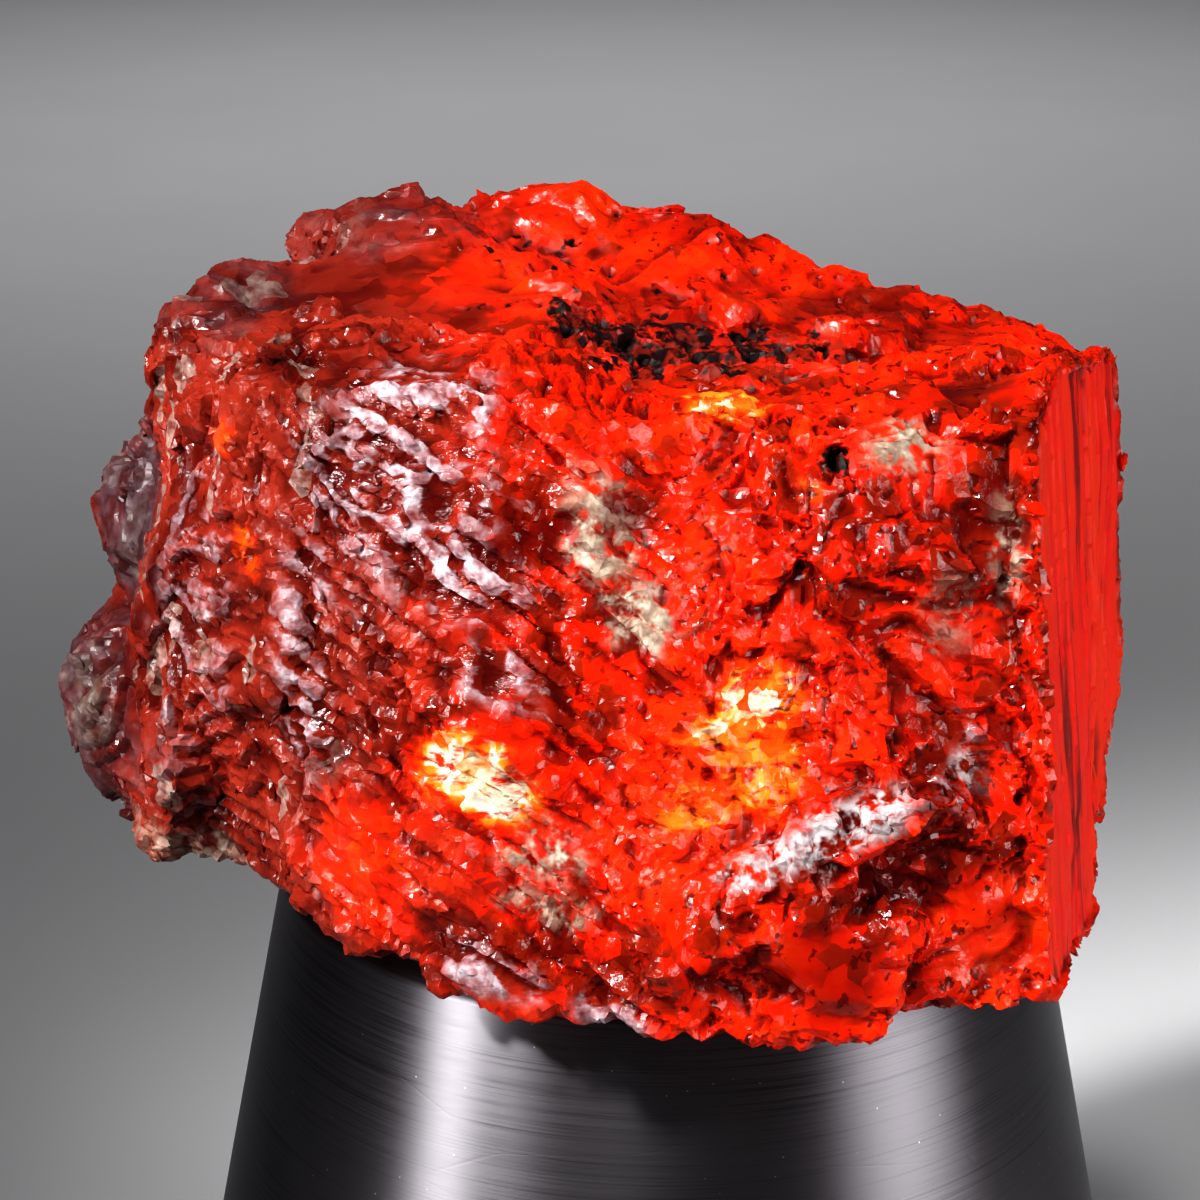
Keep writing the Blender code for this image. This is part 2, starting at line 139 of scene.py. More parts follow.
PATCHES = (
    # Frosted ridges, mostly on the front's left, with painted highlights on their crests
    Patch(Look.FROST_AND_HIGHLIGHT, (-4.4, -5.0, 10.7), (1.5, 1.6, 0.8), -10.0),
    Patch(Look.FROST_AND_HIGHLIGHT, (-3.7, -6.1, 8.3), (1.3, 1.4, 0.8), 30.0),
    Patch(Look.FROST_AND_HIGHLIGHT, (-4.6, -5.4, 9.5), (1.9, 1.6, 1.8), 10.0, 0.75),
    Patch(Look.FROST_AND_HIGHLIGHT, (-2.8, -6.8, 6.6), (0.9, 1.0, 0.5), 20.0, 0.8),
    Patch(Look.FROST_AND_HIGHLIGHT, (-2.9, -7.9, 1.6), (1.2, 1.2, 0.4), 20.0, 0.9),
    Patch(Look.FROST_AND_HIGHLIGHT, (-0.9, -8.2, 1.0), (0.8, 1.2, 0.4), 0.0, 0.8),
    Patch(Look.FROST_AND_HIGHLIGHT, (-6.2, -5.4, 6.5), (0.6, 1.2, 2.4), 0.0, 0.7),
    Patch(Look.FROST_AND_HIGHLIGHT, (-8.3, -3.6, 6.5), (0.9, 1.6, 3.2), 4.0, 0.45),
    Patch(Look.FROST_AND_HIGHLIGHT, (4.9, -6.8, 5.0), (0.5, 1.0, 0.9), 0.0, 0.5),
    # Cream patches
    Patch(Look.PALE, (-1.1, -6.2, 9.0), (0.75, 1.2, 0.95)),
    Patch(Look.PALE, (-0.4, -6.7, 7.7), (0.7, 1.2, 0.65)),
    Patch(Look.PALE, (-2.1, -7.6, 3.7), (0.7, 1.2, 0.6)),
    Patch(Look.PALE, (-2.0, -7.9, 2.8), (1.0, 1.2, 0.3), 8.0, 0.8),
    Patch(Look.PALE, (4.0, -5.9, 10.4), (0.65, 1.0, 0.5), 0.0, 1.0),
    Patch(Look.PALE, (4.7, -6.6, 7.6), (0.5, 1.0, 0.8), 0.0, 0.55),
    Patch(Look.PALE, (5.75, -6.1, 8.6), (0.28, 1.0, 1.0), 0.0, 0.9),
    Patch(Look.PALE, (-10.6, -1.6, 4.0), (0.5, 1.6, 1.0), 0.0, 0.8),
    Patch(Look.PALE, (-8.6, -2.7, 1.7), (1.3, 1.6, 0.5), 5.0, 0.7),
    # Painted glow, as of light coming through the stone, from orange to nearly white
    Patch(Look.GLOW, (-3.1, -7.1, 4.9), (1.15, 1.5, 0.85), 20.0, 1.0),
    Patch(Look.GLOW, (1.4, -7.5, 5.7), (1.2, 1.5, 1.5), 0.0, 0.62),
    Patch(Look.GLOW, (0.4, -7.8, 4.7), (0.75, 1.4, 0.6), 0.0, 0.6),
    Patch(Look.GLOW, (1.1, -4.0, 10.6), (0.95, 1.2, 0.35), 0.0, 0.75),
    Patch(Look.GLOW, (2.4, -6.2, 9.6), (0.35, 0.8, 0.28), 0.0, 0.6),
    Patch(Look.GLOW, (-5.0, -6.7, 3.1), (1.1, 1.4, 1.3), 0.0, 0.28),
    Patch(Look.GLOW, (5.8, -7.2, 1.9), (0.9, 1.2, 1.0), 0.0, 0.22),
    Patch(Look.GLOW, (-7.6, -4.1, 9.9), (0.35, 0.8, 0.4), 0.0, 0.45),
    Patch(Look.GLOW, (-7.2, -4.7, 8.1), (0.4, 0.8, 0.6), 0.0, 0.45),
    # Painted glint: the silvery band low on the front's right
    Patch(Look.PAINTED_GLINT, (2.8, -8.3, 4.35), (1.7, 1.2, 0.38), -22.0, 1.0, 0.35),
    Patch(Look.PAINTED_GLINT, (1.4, -8.4, 3.7), (0.6, 1.0, 0.26), -10.0, 0.9, 0.35),
    Patch(Look.PAINTED_GLINT, (5.0, -7.4, 5.0), (0.3, 0.8, 0.5), 0.0, 0.6, 0.4),
    # Painted shade, near black, in the pitted cavity of the top, the hole below its front edge and scattered
    # specks
    Patch(Look.BLACK, (0.2, -0.8, 10.8), (3.0, 2.0, 1.1), 5.0, 1.0, 0.9),
    Patch(Look.BLACK, (-0.4, -1.0, 10.6), (1.4, 1.2, 0.9), 0.0, 1.0, 0.5),
    Patch(Look.BLACK, (-2.6, 0.2, 10.9), (1.1, 0.8, 0.5), 10.0, 0.8, 0.6),
    Patch(Look.BLACK, (2.8, -5.9, 10.1), (0.3, 0.9, 0.32), 0.0, 1.0, 0.25),
    Patch(Look.BLACK, (2.9, 0.3, 10.4), (0.75, 0.5, 0.4), 0.0, 0.9, 0.5),
    Patch(Look.BLACK, (-1.7, 2.4, 11.4), (1.6, 2.0, 0.8), 0.0, 0.7, 1.0),
    Patch(Look.BLACK, (1.6, 2.4, 11.0), (2.4, 1.2, 0.7), 0.0, 0.5, 1.2),
    Patch(Look.BLACK, (-2.7, 3.5, 11.6), (0.9, 0.7, 0.5), 0.0, 0.8, 0.5),
    Patch(Look.BLACK, (4.9, -5.8, 10.7), (0.14, 0.4, 0.14), 0.0, 1.0, 0.2),
    # Deep red areas of the top and its back rim and of the front's right, and painted shade below the ledges
    Patch(Look.DARK, (3.4, 2.2, 10.4), (2.4, 1.8, 0.8), 0.0, 0.7, 1.0),
    Patch(Look.DARK, (0.6, 5.2, 11.6), (3.0, 1.0, 0.8), 0.0, 0.6, 0.7),
    Patch(Look.DARK, (-0.6, 0.6, 10.9), (3.2, 1.8, 0.9), 0.0, 0.6, 1.2),
    Patch(Look.DARK, (-5.2, 3.9, 12.2), (2.0, 1.0, 0.8), 0.0, 0.35, 0.9),
    # These two are painted shade below the ledges
    Patch(Look.DARK, (3.6, -8.0, 3.5), (1.3, 1.0, 0.3), -20.0, 0.9, 0.4),
    Patch(Look.DARK, (1.0, -8.9, 2.2), (1.1, 1.0, 0.2), -26.0, 0.9, 0.3),
    Patch(Look.DARK, (-0.7, -5.8, 9.2), (0.55, 1.0, 0.45), 0.0, 0.8, 0.5),
    Patch(Look.DARK, (2.7, -8.8, 1.9), (1.15, 1.2, 1.0), 0.0, 0.62, 0.3),
    Patch(Look.DARK, (5.1, -3.5, 10.6), (1.2, 1.2, 0.6), 0.0, 0.4, 0.3),
    Patch(Look.DARK, (-6.1, 0.8, 11.3), (1.2, 1.6, 0.8), 0.0, 0.5, 0.4),
    Patch(Look.DARK, (-8.4, -3.4, 2.9), (0.7, 1.0, 0.45), 0.0, 0.9, 0.4),
    Patch(Look.DARK, (4.1, -6.6, 7.4), (2.0, 1.6, 2.1), 0.0, 0.42, 0.8),
    Patch(Look.DARK, (3.0, -6.5, 9.3), (2.6, 1.4, 0.7), 0.0, 0.4, 0.9),
    # The matt, grown-on ends on the left and at the back
    Patch(Look.CRUST, (-9.9, 0.0, 7.2), (1.0, 2.6, 1.9), 0.0, 0.85, 0.4),
    Patch(Look.CRUST, (-10.5, -0.4, 3.7), (1.3, 2.8, 2.3), 0.0, 0.8, 0.5),
    Patch(Look.CRUST, (-5.4, 3.8, 11.9), (2.3, 1.8, 1.2), 0.0, 0.4, 0.5),
    Patch(Look.CRUST, (-8.0, 0.9, 11.2), (1.5, 2.4, 1.3), 0.0, 0.5, 0.6),
    Patch(Look.CRUST, (-4.0, 6.2, 6.0), (4.5, 1.6, 4.0), 10.0, 0.4, 0.9),
    # Smooth cleavage faces
    Patch(Look.SMOOTH, (-4.6, 0.6, 11.4), (2.9, 1.9, 0.7), 0.0, 1.0, 0.15),
    Patch(Look.SMOOTH, (1.6, 3.0, 11.2), (6.5, 3.2, 1.8), 14.0, 0.72, 0.3),
    Patch(Look.SMOOTH, (-4.5, 3.6, 12.4), (2.6, 1.4, 0.8), 0.0, 0.6, 0.3),
    Patch(Look.SMOOTH, (-8.0, 0.6, 11.0), (1.6, 1.6, 1.2), 0.0, 0.6, 0.3),
    Patch(Look.SMOOTH, (-10.4, -0.8, 5.5), (1.4, 2.6, 4.0), 0.0, 0.5, 0.4),
    Patch(Look.SMOOTH, (5.1, -3.5, 10.6), (1.2, 1.1, 0.6), 0.0, 0.9, 0.15),
    Patch(Look.SMOOTH, (2.7, -8.8, 1.9), (1.2, 1.0, 1.1), 0.0, 0.85, 0.2),
    Patch(Look.SMOOTH, (5.7, -7.3, 1.9), (1.0, 1.0, 1.1), 0.0, 0.7, 0.3),
    Patch(Look.SMOOTH, (-5.1, -6.6, 3.2), (1.2, 1.2, 1.2), 0.0, 0.5, 0.5),
    # Vivid red areas
    Patch(Look.VIVID, (1.5, 2.8, 11.2), (6.0, 3.6, 1.8), 12.0, 0.2, 0.9),
    Patch(Look.VIVID, (-2.6, 0.9, 11.4), (1.8, 1.3, 0.9), 0.0, 1.0, 0.5),
    Patch(Look.VIVID, (-5.2, -6.7, 3.1), (1.3, 1.5, 1.4), 0.0, 0.9, 0.6),
    Patch(Look.VIVID, (5.6, -7.3, 1.9), (1.2, 1.5, 1.2), 0.0, 0.9, 0.5),
    Patch(Look.VIVID, (-1.8, -7.8, 2.9), (2.4, 1.5, 0.8), 0.0, 0.7, 0.7),
    Patch(Look.VIVID, (1.4, -7.4, 5.6), (2.2, 1.5, 2.0), 0.0, 0.8, 0.7),
    Patch(Look.VIVID, (-2.8, -7.0, 4.9), (2.0, 1.5, 1.4), 0.0, 0.9, 0.7),
)


def clamped(values: np.ndarray, low: float, high: float) -> np.ndarray:
    """How far each value stands between two limits, from 0 to 1."""
    return np.clip((values - low) / (high - low), 0.0, 1.0)


def smooth_step(values: np.ndarray, low: float, high: float) -> np.ndarray:
    """Rise smoothly from 0 at low to 1 at high."""
    share = clamped(values, low, high)
    return share * share * (3.0 - 2.0 * share)


def scattered(values: np.ndarray) -> np.ndarray:
    """Turn numbers into others from 0 to 1 that look random but are the same each time."""
    return np.modf(np.abs(np.sin(values)) * 43758.5453)[0]


def soft_noise(points: np.ndarray, size: float, shift: float = 0.0) -> np.ndarray:
    """Smooth noise of features of about the given size.

    Args:
        points: places in mm, one row each.
        size: size of a swell in mm.
        shift: moves the pattern, so that two uses differ.

    Returns:
        Heights from about -1 to 1.
    """
    move = Vector((shift, shift * 1.7, shift * 0.6))
    return np.array([noise.noise(Vector(point) + move) for point in points / size])


def about_y(degrees: float) -> np.ndarray:
    """The turn about Y by an angle, as rows and columns."""
    return np.array(Matrix.Rotation(math.radians(degrees), 3, "Y"))


def drawn_out(points: np.ndarray, stretch: float) -> np.ndarray:
    """Turn places to the ridges' slant and shrink them along it, so that noise read there is drawn out.

    Args:
        points: places in mm, one row each.
        stretch: how many times longer than wide the features become.

    Returns:
        The places to read the noise at.
    """
    moved = points @ about_y(RIDGE_TURN).T
    moved[:, 0] /= stretch
    return moved


def spread(mesh: bpy.types.Mesh, values: np.ndarray, rounds: int) -> np.ndarray:
    """Smooth values over a mesh, from each point to its neighbours.

    Args:
        mesh: the mesh.
        values: one row for each point.
        rounds: how many times to average.

    Returns:
        The smoothed values.
    """
    ends = np.empty(len(mesh.edges) * 2, dtype=np.int64)
    mesh.edges.foreach_get("vertices", ends)
    first, second = ends.reshape(-1, 2).T
    count = np.bincount(ends, minlength=len(values)).astype(float)
    smooth = values.copy()
    for _ in range(rounds):
        total = np.zeros_like(smooth)
        for column in range(smooth.shape[1]):
            total[:, column] = (np.bincount(first, smooth[second, column], len(values))
                                + np.bincount(second, smooth[first, column], len(values)))
        smooth = 0.5 * smooth + 0.5 * total / count[:, None]
    return smooth


def patch_shares(points: np.ndarray) -> dict[Look, np.ndarray]:
    """Work out how much of each look every point has.

    Args:
        points: places in mm over the stand's top.

    Returns:
        One array of shares from 0 to 1 for each look.
    """
    rough_edge = soft_noise(points, 0.75, 3.0) * 0.65 + soft_noise(points, 0.3, 9.0) * 0.45
    shares = {look: np.zeros(len(points)) for look in Look}
    for patch in PATCHES:
        local = (points - np.array(patch.centre)) @ about_y(patch.turn) / np.array(patch.half)
        distance = np.linalg.norm(local, axis=1) + rough_edge * patch.ragged
        share = patch.strength * (1.0 - smooth_step(distance, 0.55, 1.25))
        shares[patch.look] = np.maximum(shares[patch.look], share)
    return shares


def keep(mesh: bpy.types.Mesh, name: Look | Trace, values: np.ndarray) -> None:
    """Keep one number for each point of a mesh."""
    attribute = mesh.attributes.get(name.value) or mesh.attributes.new(name.value, "FLOAT", "POINT")
    attribute.data.foreach_set("value", values.astype(np.float32))


def kept(mesh: bpy.types.Mesh, name: Trace) -> np.ndarray:
    """Read back the numbers that were kept on a mesh.

    Args:
        mesh: the mesh.
        name: what they are.

    Returns:
        One number for each point.
    """
    values = np.empty(len(mesh.vertices), dtype=np.float32)
    mesh.attributes[name.value].data.foreach_get("value", values)
    return values.astype(float)


def read_points(mesh: bpy.types.Mesh) -> tuple[np.ndarray, np.ndarray]:
    """Read where a mesh's points are.

    Args:
        mesh: the mesh.

    Returns:
        Its points in mm over the stand's top, and their normals.
    """
    points = np.empty(len(mesh.vertices) * 3)
    mesh.vertices.foreach_get("co", points)
    points = points.reshape(-1, 3) / MM
    points[:, 2] -= STAND_TOP
    normals = np.empty(len(mesh.vertices) * 3)
    mesh.vertex_normals.foreach_get("vector", normals)
    return points, normals.reshape(-1, 3)


def placed(name: str, data: bpy.types.ID) -> bpy.types.Object:
    """Add an object to the scene.

    Args:
        name: its name.
        data: its mesh, light or camera.

    Returns:
        The new object, at the origin.
    """
    made = bpy.data.objects.new(name, data)
    bpy.context.scene.collection.objects.link(made)
    return made


def evaluated_mesh(obj: bpy.types.Object) -> bpy.types.Mesh:
    """Make the plain mesh that an object's modifiers give.

    Args:
        obj: the object.

    Returns:
        The new mesh.
    """
    bpy.context.view_layer.update()
    graph = bpy.context.evaluated_depsgraph_get()
    return bpy.data.meshes.new_from_object(obj.evaluated_get(graph))


def freeze(obj: bpy.types.Object) -> None:
    """Replace an object's mesh by the plain mesh that its modifiers give, with faces outwards.

    Args:
        obj: the object, which loses its modifiers.
    """
    mesh = evaluated_mesh(obj)
    obj.modifiers.clear()
    old = obj.data
    obj.data = mesh
    mesh.name = obj.name
    bpy.data.meshes.remove(old)
    bm = bmesh.new()
    bm.from_mesh(mesh)
    bmesh.ops.recalc_face_normals(bm, faces=bm.faces)
    bm.to_mesh(mesh)
    bm.free()


def mark_sharp(mesh: bpy.types.Mesh, degrees: float) -> None:
    """Keep edges sharper than an angle crisp on a smooth mesh.

    Args:
        mesh: the mesh.
        degrees: the angle.
    """
    bm = bmesh.new()
    bm.from_mesh(mesh)
    for edge in bm.edges:
        if len(edge.link_faces) == 2:
            edge.smooth = edge.calc_face_angle(0.0) < math.radians(degrees)
    bm.to_mesh(mesh)
    bm.free()


def smooth_shade(mesh: bpy.types.Mesh) -> None:
    """Shade all faces of a mesh as one smooth surface."""
    for polygon in mesh.polygons:
        polygon.use_smooth = True


def fine_copy(source: bpy.types.Object, step: float) -> bpy.types.Mesh:
    """Copy a CAD stone and give it an even fine skin.

    Args:
        source: the CAD node.
        step: size of the new skin's faces in metres.

    Returns:
        The new mesh.
    """
    bm = bmesh.new()
    bm.from_mesh(source.data)
    bmesh.ops.remove_doubles(bm, verts=bm.verts, dist=0.001 * MM)
    mesh = bpy.data.meshes.new("coarse_stone")
    bm.to_mesh(mesh)
    bm.free()
    helper = placed("coarse_stone", mesh)
    remesh = helper.modifiers.new("even_skin", "REMESH")
    remesh.mode = "VOXEL"
    remesh.voxel_size = step
    soften = helper.modifiers.new("soften_facets", "SMOOTH")
    soften.factor = 0.5
    soften.iterations = 2
    fine = evaluated_mesh(helper)
    bpy.data.objects.remove(helper)
    bpy.data.meshes.remove(mesh)
    return fine


@dataclass
class TreeWriter:
    """Adds and joins the nodes of one tree."""

    tree: bpy.types.NodeTree

    def add(self, kind: str, inputs: dict[str | int, Feed] | None = None, **options: str) -> bpy.types.Node:
        """Add a node, set its options and feed its inputs.

        Args:
            kind: the node's type.
            inputs: what its inputs take, by name or place.
            options: its options, by name.

        Returns:
            The new node.
        """
        node = self.tree.nodes.new(kind)
        for name, value in options.items():
            setattr(node, name, value)
        for name, value in (inputs or {}).items():
            self.feed(node.inputs[name], value)
        return node

    def feed(self, socket: Socket, value: Feed) -> None:
        """Link a socket, or set its plain value.

        Args:
            socket: the input.
            value: another node's output, a number, a name, a vector, or a colour without its alpha.
        """
        if isinstance(value, Socket):
            self.tree.links.new(value, socket)
        elif socket.type == "RGBA":
            socket.default_value = (*value, 1.0)
        else:
            socket.default_value = value

    def sum_of(self, operation: str, first: Feed, second: Feed = 0.0) -> Socket:
        """One sum on numbers or sockets."""
        return self.add("ShaderNodeMath", {0: first, 1: second}, operation=operation).outputs[0]

    def plus(self, first: Feed, second: Feed) -> Socket:
        """One value plus another."""
        return self.sum_of("ADD", first, second)

    def minus(self, first: Feed, second: Feed) -> Socket:
        """One value less another."""
        return self.sum_of("SUBTRACT", first, second)

    def times(self, first: Feed, second: Feed) -> Socket:
        """One value times another."""
        return self.sum_of("MULTIPLY", first, second)


class MaterialWriter(TreeWriter):
    """Writes the nodes of one material."""

    def __init__(self, name: str) -> None:
        """Start from a Principled shader, its output and Object coordinates.

        Args:
            name: the material's name.
        """
        self.material = bpy.data.materials.new(name)
        self.material.use_nodes = True
        super().__init__(self.material.node_tree)
        self.tree.nodes.clear()
        self.shader = self.add("ShaderNodeBsdfPrincipled")
        self.add("ShaderNodeOutputMaterial", {"Surface": self.shader.outputs["BSDF"]})
        self.place = self.add("ShaderNodeTexCoord").outputs["Object"]

    def finish(self, inputs: dict[str, Feed]) -> bpy.types.Material:
        """Feed the shader.

        Args:
            inputs: what the shader's inputs take, by name.

        Returns:
            The finished material.
        """
        for name, value in inputs.items():
            self.feed(self.shader.inputs[name], value)
        return self.material

    def scaled(self, scale: Triple = (1.0, 1.0, 1.0), turn: float = 0.0) -> Socket:
        """Object coordinates in mm, times a scale and turned about Y.

        Args:
            scale: pattern units for each mm, along each axis.
            turn: the turn in degrees.

        Returns:
            The coordinates.
        """
        return self.add("ShaderNodeMapping", {
            "Vector": self.place,
            "Scale": tuple(value / MM for value in scale),
            "Rotation": (0.0, math.radians(turn), 0.0),
        }).outputs["Vector"]

    def noise(self, vector: Socket, scale: float, detail: float = 3.0, roughness: float = 0.55,
              output: str = "Fac") -> Socket:
        """Add a noise texture.

        Args:
            vector: where it is read.
            scale: how many swells a unit holds.
            detail: how many finer layers are added.
            roughness: how strong the finer layers are.
            output: Fac or Color.

        Returns:
            Its value or colour.
        """
        return self.add("ShaderNodeTexNoise", {
            "Vector": vector, "Scale": scale, "Detail": detail, "Roughness": roughness}).outputs[output]

    def cells(self, vector: Socket, scale: float, feature: str = "F1", output: str = "Distance") -> Socket:
        """Add a cell texture.

        Args:
            vector: where it is read.
            scale: how many cells a unit holds.
            feature: what is measured.
            output: Distance or Color.

        Returns:
            Its value or colour.
        """
        node = self.add("ShaderNodeTexVoronoi", {"Vector": vector, "Scale": scale}, feature=feature)
        return node.outputs[output]

    def ramp(self, value: Socket, low: float, high: float, start: float = 0.0, end: float = 1.0) -> Socket:
        """Map a value from one range to another, smoothly and clamped.

        Args:
            value: what is mapped.
            low: where the first range starts.
            high: where it ends.
            start: what low becomes.
            end: what high becomes.

        Returns:
            The mapped value.
        """
        return self.add("ShaderNodeMapRange", {
            "Value": value, "From Min": low, "From Max": high, "To Min": start, "To Max": end,
        }, interpolation_type="SMOOTHSTEP").outputs["Result"]

    def colours(self, value: Socket, stops: Stops) -> Socket:
        """Add a colour ramp.

        Args:
            value: where the ramp is read.
            stops: places from 0 to 1, each with its colour.

        Returns:
            The colour.
        """
        node = self.add("ShaderNodeValToRGB", {"Fac": value})
        ramp = node.color_ramp
        while len(ramp.elements) < len(stops):
            ramp.elements.new(0.5)
        for element, (position, colour) in zip(ramp.elements, stops):
            element.position = position
            element.color = (*colour, 1.0)
        return node.outputs["Color"]

    def mix(self, share: Feed, first: Feed, second: Feed) -> Socket:
        """Mix two colours by a share."""
        return self.add("ShaderNodeMix", {0: share, 6: first, 7: second}, data_type="RGBA").outputs[2]

    def blend(self, share: Feed, first: Feed, second: Feed) -> Socket:
        """Mix two numbers by a share."""
        return self.add("ShaderNodeMix", {0: share, 2: first, 3: second}, data_type="FLOAT").outputs[0]

    def share(self, name: Look | Trace) -> Socket:
        """One of the numbers kept on the mesh."""
        return self.add("ShaderNodeAttribute", attribute_name=name.value).outputs["Fac"]

    def along(self, vector: Socket, axis: str) -> Socket:
        """One coordinate of a vector."""
        return self.add("ShaderNodeSeparateXYZ", {0: vector}).outputs[axis]

    def warped(self, vector: Socket, scale: float, amount: float) -> Socket:
        """Move a vector about by noise, so that what is read there has crooked edges.

        Args:
            vector: the vector.
            scale: how many swells of the noise a unit holds.
            amount: how far it moves.

        Returns:
            The moved vector.
        """
        shift = self.noise(vector, scale, 1.0, 0.5, "Color")
        return self.add("ShaderNodeVectorMath", {0: shift, 1: (amount,) * 3, 2: vector},
                        operation="MULTIPLY_ADD").outputs[0]

    def tilted(self, normal: Socket, cells: Socket, amount: Feed) -> Socket:
        """Tip a normal by each cell's own random vector, so that every cell is a small flat face.

        Args:
            normal: the normal.
            cells: the cells' own colours.
            amount: how far it tips.

        Returns:
            The tipped normal.
        """
        def vector_sum(operation: str, inputs: dict[str | int, Feed]) -> Socket:
            """One sum on vectors."""
            return self.add("ShaderNodeVectorMath", inputs, operation=operation).outputs[0]

        centred = vector_sum("SUBTRACT", {0: cells, 1: (0.5, 0.5, 0.5)})
        push = vector_sum("SCALE", {0: centred, "Scale": amount})
        return vector_sum("NORMALIZE", {0: vector_sum("ADD", {0: normal, 1: push})})

    def bump(self, height: Socket, distance: float, strength: float, under: Socket | None = None) -> Socket:
        """Add relief from a height.

        Args:
            height: the height.
            distance: how deep it is, in metres.
            strength: how strongly it shows.
            under: the relief that it is laid over, if any.

        Returns:
            The normal.
        """
        inputs = {"Height": height, "Distance": distance, "Strength": strength}
        if under is not None:
            inputs["Normal"] = under
        return self.add("ShaderNodeBump", inputs).outputs["Normal"]


class GeometryWriter(TreeWriter):
    """Writes one Geometry Nodes tree with named inputs."""

    def __init__(self, name: str, inputs: dict[str, str]) -> None:
        """Start a tree.

        Args:
            name: the tree's name.
            inputs: the kind of each input, by its name.
        """
        super().__init__(bpy.data.node_groups.new(name, "GeometryNodeTree"))
        for label, kind in inputs.items():
            self.tree.interface.new_socket(label, in_out="INPUT", socket_type="NodeSocket" + kind)
        self.tree.interface.new_socket("Geometry", in_out="OUTPUT", socket_type="NodeSocketGeometry")
        self.given = self.add("NodeGroupInput").outputs

    def random(self, low: float | Triple, high: float | Triple, seed: int) -> Socket:
        """A random number or vector for each point.

        Args:
            low: its lowest value.
            high: its highest value.
            seed: the draw's number.

        Returns:
            The values.
        """
        kind = "FLOAT_VECTOR" if isinstance(low, tuple) else "FLOAT"
        node = self.add("FunctionNodeRandomValue", {"Seed": seed}, data_type=kind)
        ends = [socket for socket in node.inputs if socket.name in ("Min", "Max") and socket.enabled]
        for socket, value in zip(ends, (low, high)):
            self.feed(socket, value)
        return next(socket for socket in node.outputs if socket.enabled)

    def run_on(self, obj: bpy.types.Object, geometry: Socket,
               values: dict[str, float | int | bpy.types.Material]) -> None:
        """Dress the last geometry in the input Finish, end the tree, and freeze an object under it.

        Args:
            obj: the object, which keeps the tree's result as its mesh.
            geometry: the tree's last geometry, with no instances left.
            values: the inputs' values, by name.
        """
        dress = self.add("GeometryNodeSetMaterial", {"Geometry": geometry, "Material": self.given["Finish"]})
        self.add("NodeGroupOutput", {"Geometry": dress.outputs["Geometry"]})
        modifier = obj.modifiers.new(self.tree.name, "NODES")
        modifier.node_group = self.tree
        for item in self.tree.interface.items_tree:
            if item.item_type == "SOCKET" and item.in_out == "INPUT" and item.name in values:
                modifier[item.identifier] = values[item.name]
        freeze(obj)


@dataclass(frozen=True)
class Terraces:
    """Flat steps of one height along the cleavage planes, with edges that wander (sizes in mm)."""

    step: float
    wander: float
    wander_size: float
    shift: float
    wall: float = 0.2
    small_size: float = 0.33
    small_share: float = 0.4
    bend_share: float = 1.4

    def steps(self, points: np.ndarray, bent_points: np.ndarray, plane: np.ndarray,
              number: int) -> tuple[np.ndarray, np.ndarray]:
        """Find how far each point is from its flat step on one cleavage plane.

        Args:
            points: places in mm.
            bent_points: the places to read the edges' wander at.
            plane: the plane's outward direction.
            number: the plane's place in the list, so that each has its own edges.

        Returns:
            How far to move outwards in mm, and the number of the step that the point is on.
        """
        wander = soft_noise(bent_points, self.wander_size, self.shift + 3.7 * number)
        wander += soft_noise(bent_points, self.wander_size * self.small_size,
                             self.shift + 5.1 * number) * self.small_share
        wander += np.linalg.norm(bent_points - points, axis=1) * self.bend_share
        level = points @ plane / self.step
        bent = level + wander * self.wander
        whole = np.floor(bent)
        climb = smooth_step(bent - whole, 1.0 - self.wall, 1.0)
        return (whole + 0.5 + climb - level) * self.step, whole + climb


@dataclass(frozen=True)
class Cleavage:
    """The twelve planes that sphalerite splits along, turned as they lie in this stone."""

    right: Triple = (0.961, -0.261, 0.087)
    top: Triple = (-0.10, -0.22, 0.97)
    sharpness: float = 26.0

    def planes(self) -> np.ndarray:
        """Work out the planes from the two that the stone shows best.

        Returns:
            Their outward directions, one row each.
        """
        right = Vector(self.right).normalized()
        third = right.cross(Vector(self.top)).normalized()
        top = third.cross(right).normalized()
        axes = ((right + top).normalized(), (right - top).normalized(), third)
        found = []
        for one, two in ((0, 1), (0, 2), (1, 2)):
            for sign_one in (1.0, -1.0):
                for sign_two in (1.0, -1.0):
                    found.append((axes[one] * sign_one + axes[two] * sign_two).normalized())
        return np.array(found)

    def shares(self, normals: np.ndarray, lean: np.ndarray) -> np.ndarray:
        """Work out how much each plane shapes each point.

        Args:
            normals: outward directions of the points.
            lean: one number for each plane and point that favours some planes locally.

        Returns:
            Shares that sum to 1 for each point.
        """
        facing = np.clip(normals @ self.planes().T + lean, 0.001, None) ** self.sharpness
        return facing / facing.sum(axis=1)[:, None]


@dataclass(frozen=True)
class StonePatterns:
    """The patterns that the stone's colour, gloss and relief share, so that each is worked out once."""

    place: Socket
    crooked: Socket
    veils: Socket
    flecks: Socket
    fine: Socket
    streak: Socket

    @classmethod
    def laid(cls, write: MaterialWriter) -> "StonePatterns":
        """Add the shared textures to a material.

        Args:
            write: the material's writer.

        Returns:
            Their outputs.
        """
        place = write.scaled()
        crooked = write.warped(place, 3.0, 0.25)
        streaks = write.scaled((0.42, 1.0, 1.5), RIDGE_TURN)
        return cls(
            place=place,
            crooked=crooked,
            veils=write.noise(place, 0.45, 3.0, 0.62),
            flecks=write.cells(crooked, 2.3, output="Color"),
            fine=write.noise(place, 4.0, 2.0, 0.6),
            streak=write.noise(streaks, 3.0, 3.0, 0.65),
        )


Layer = tuple[Socket, Feed]


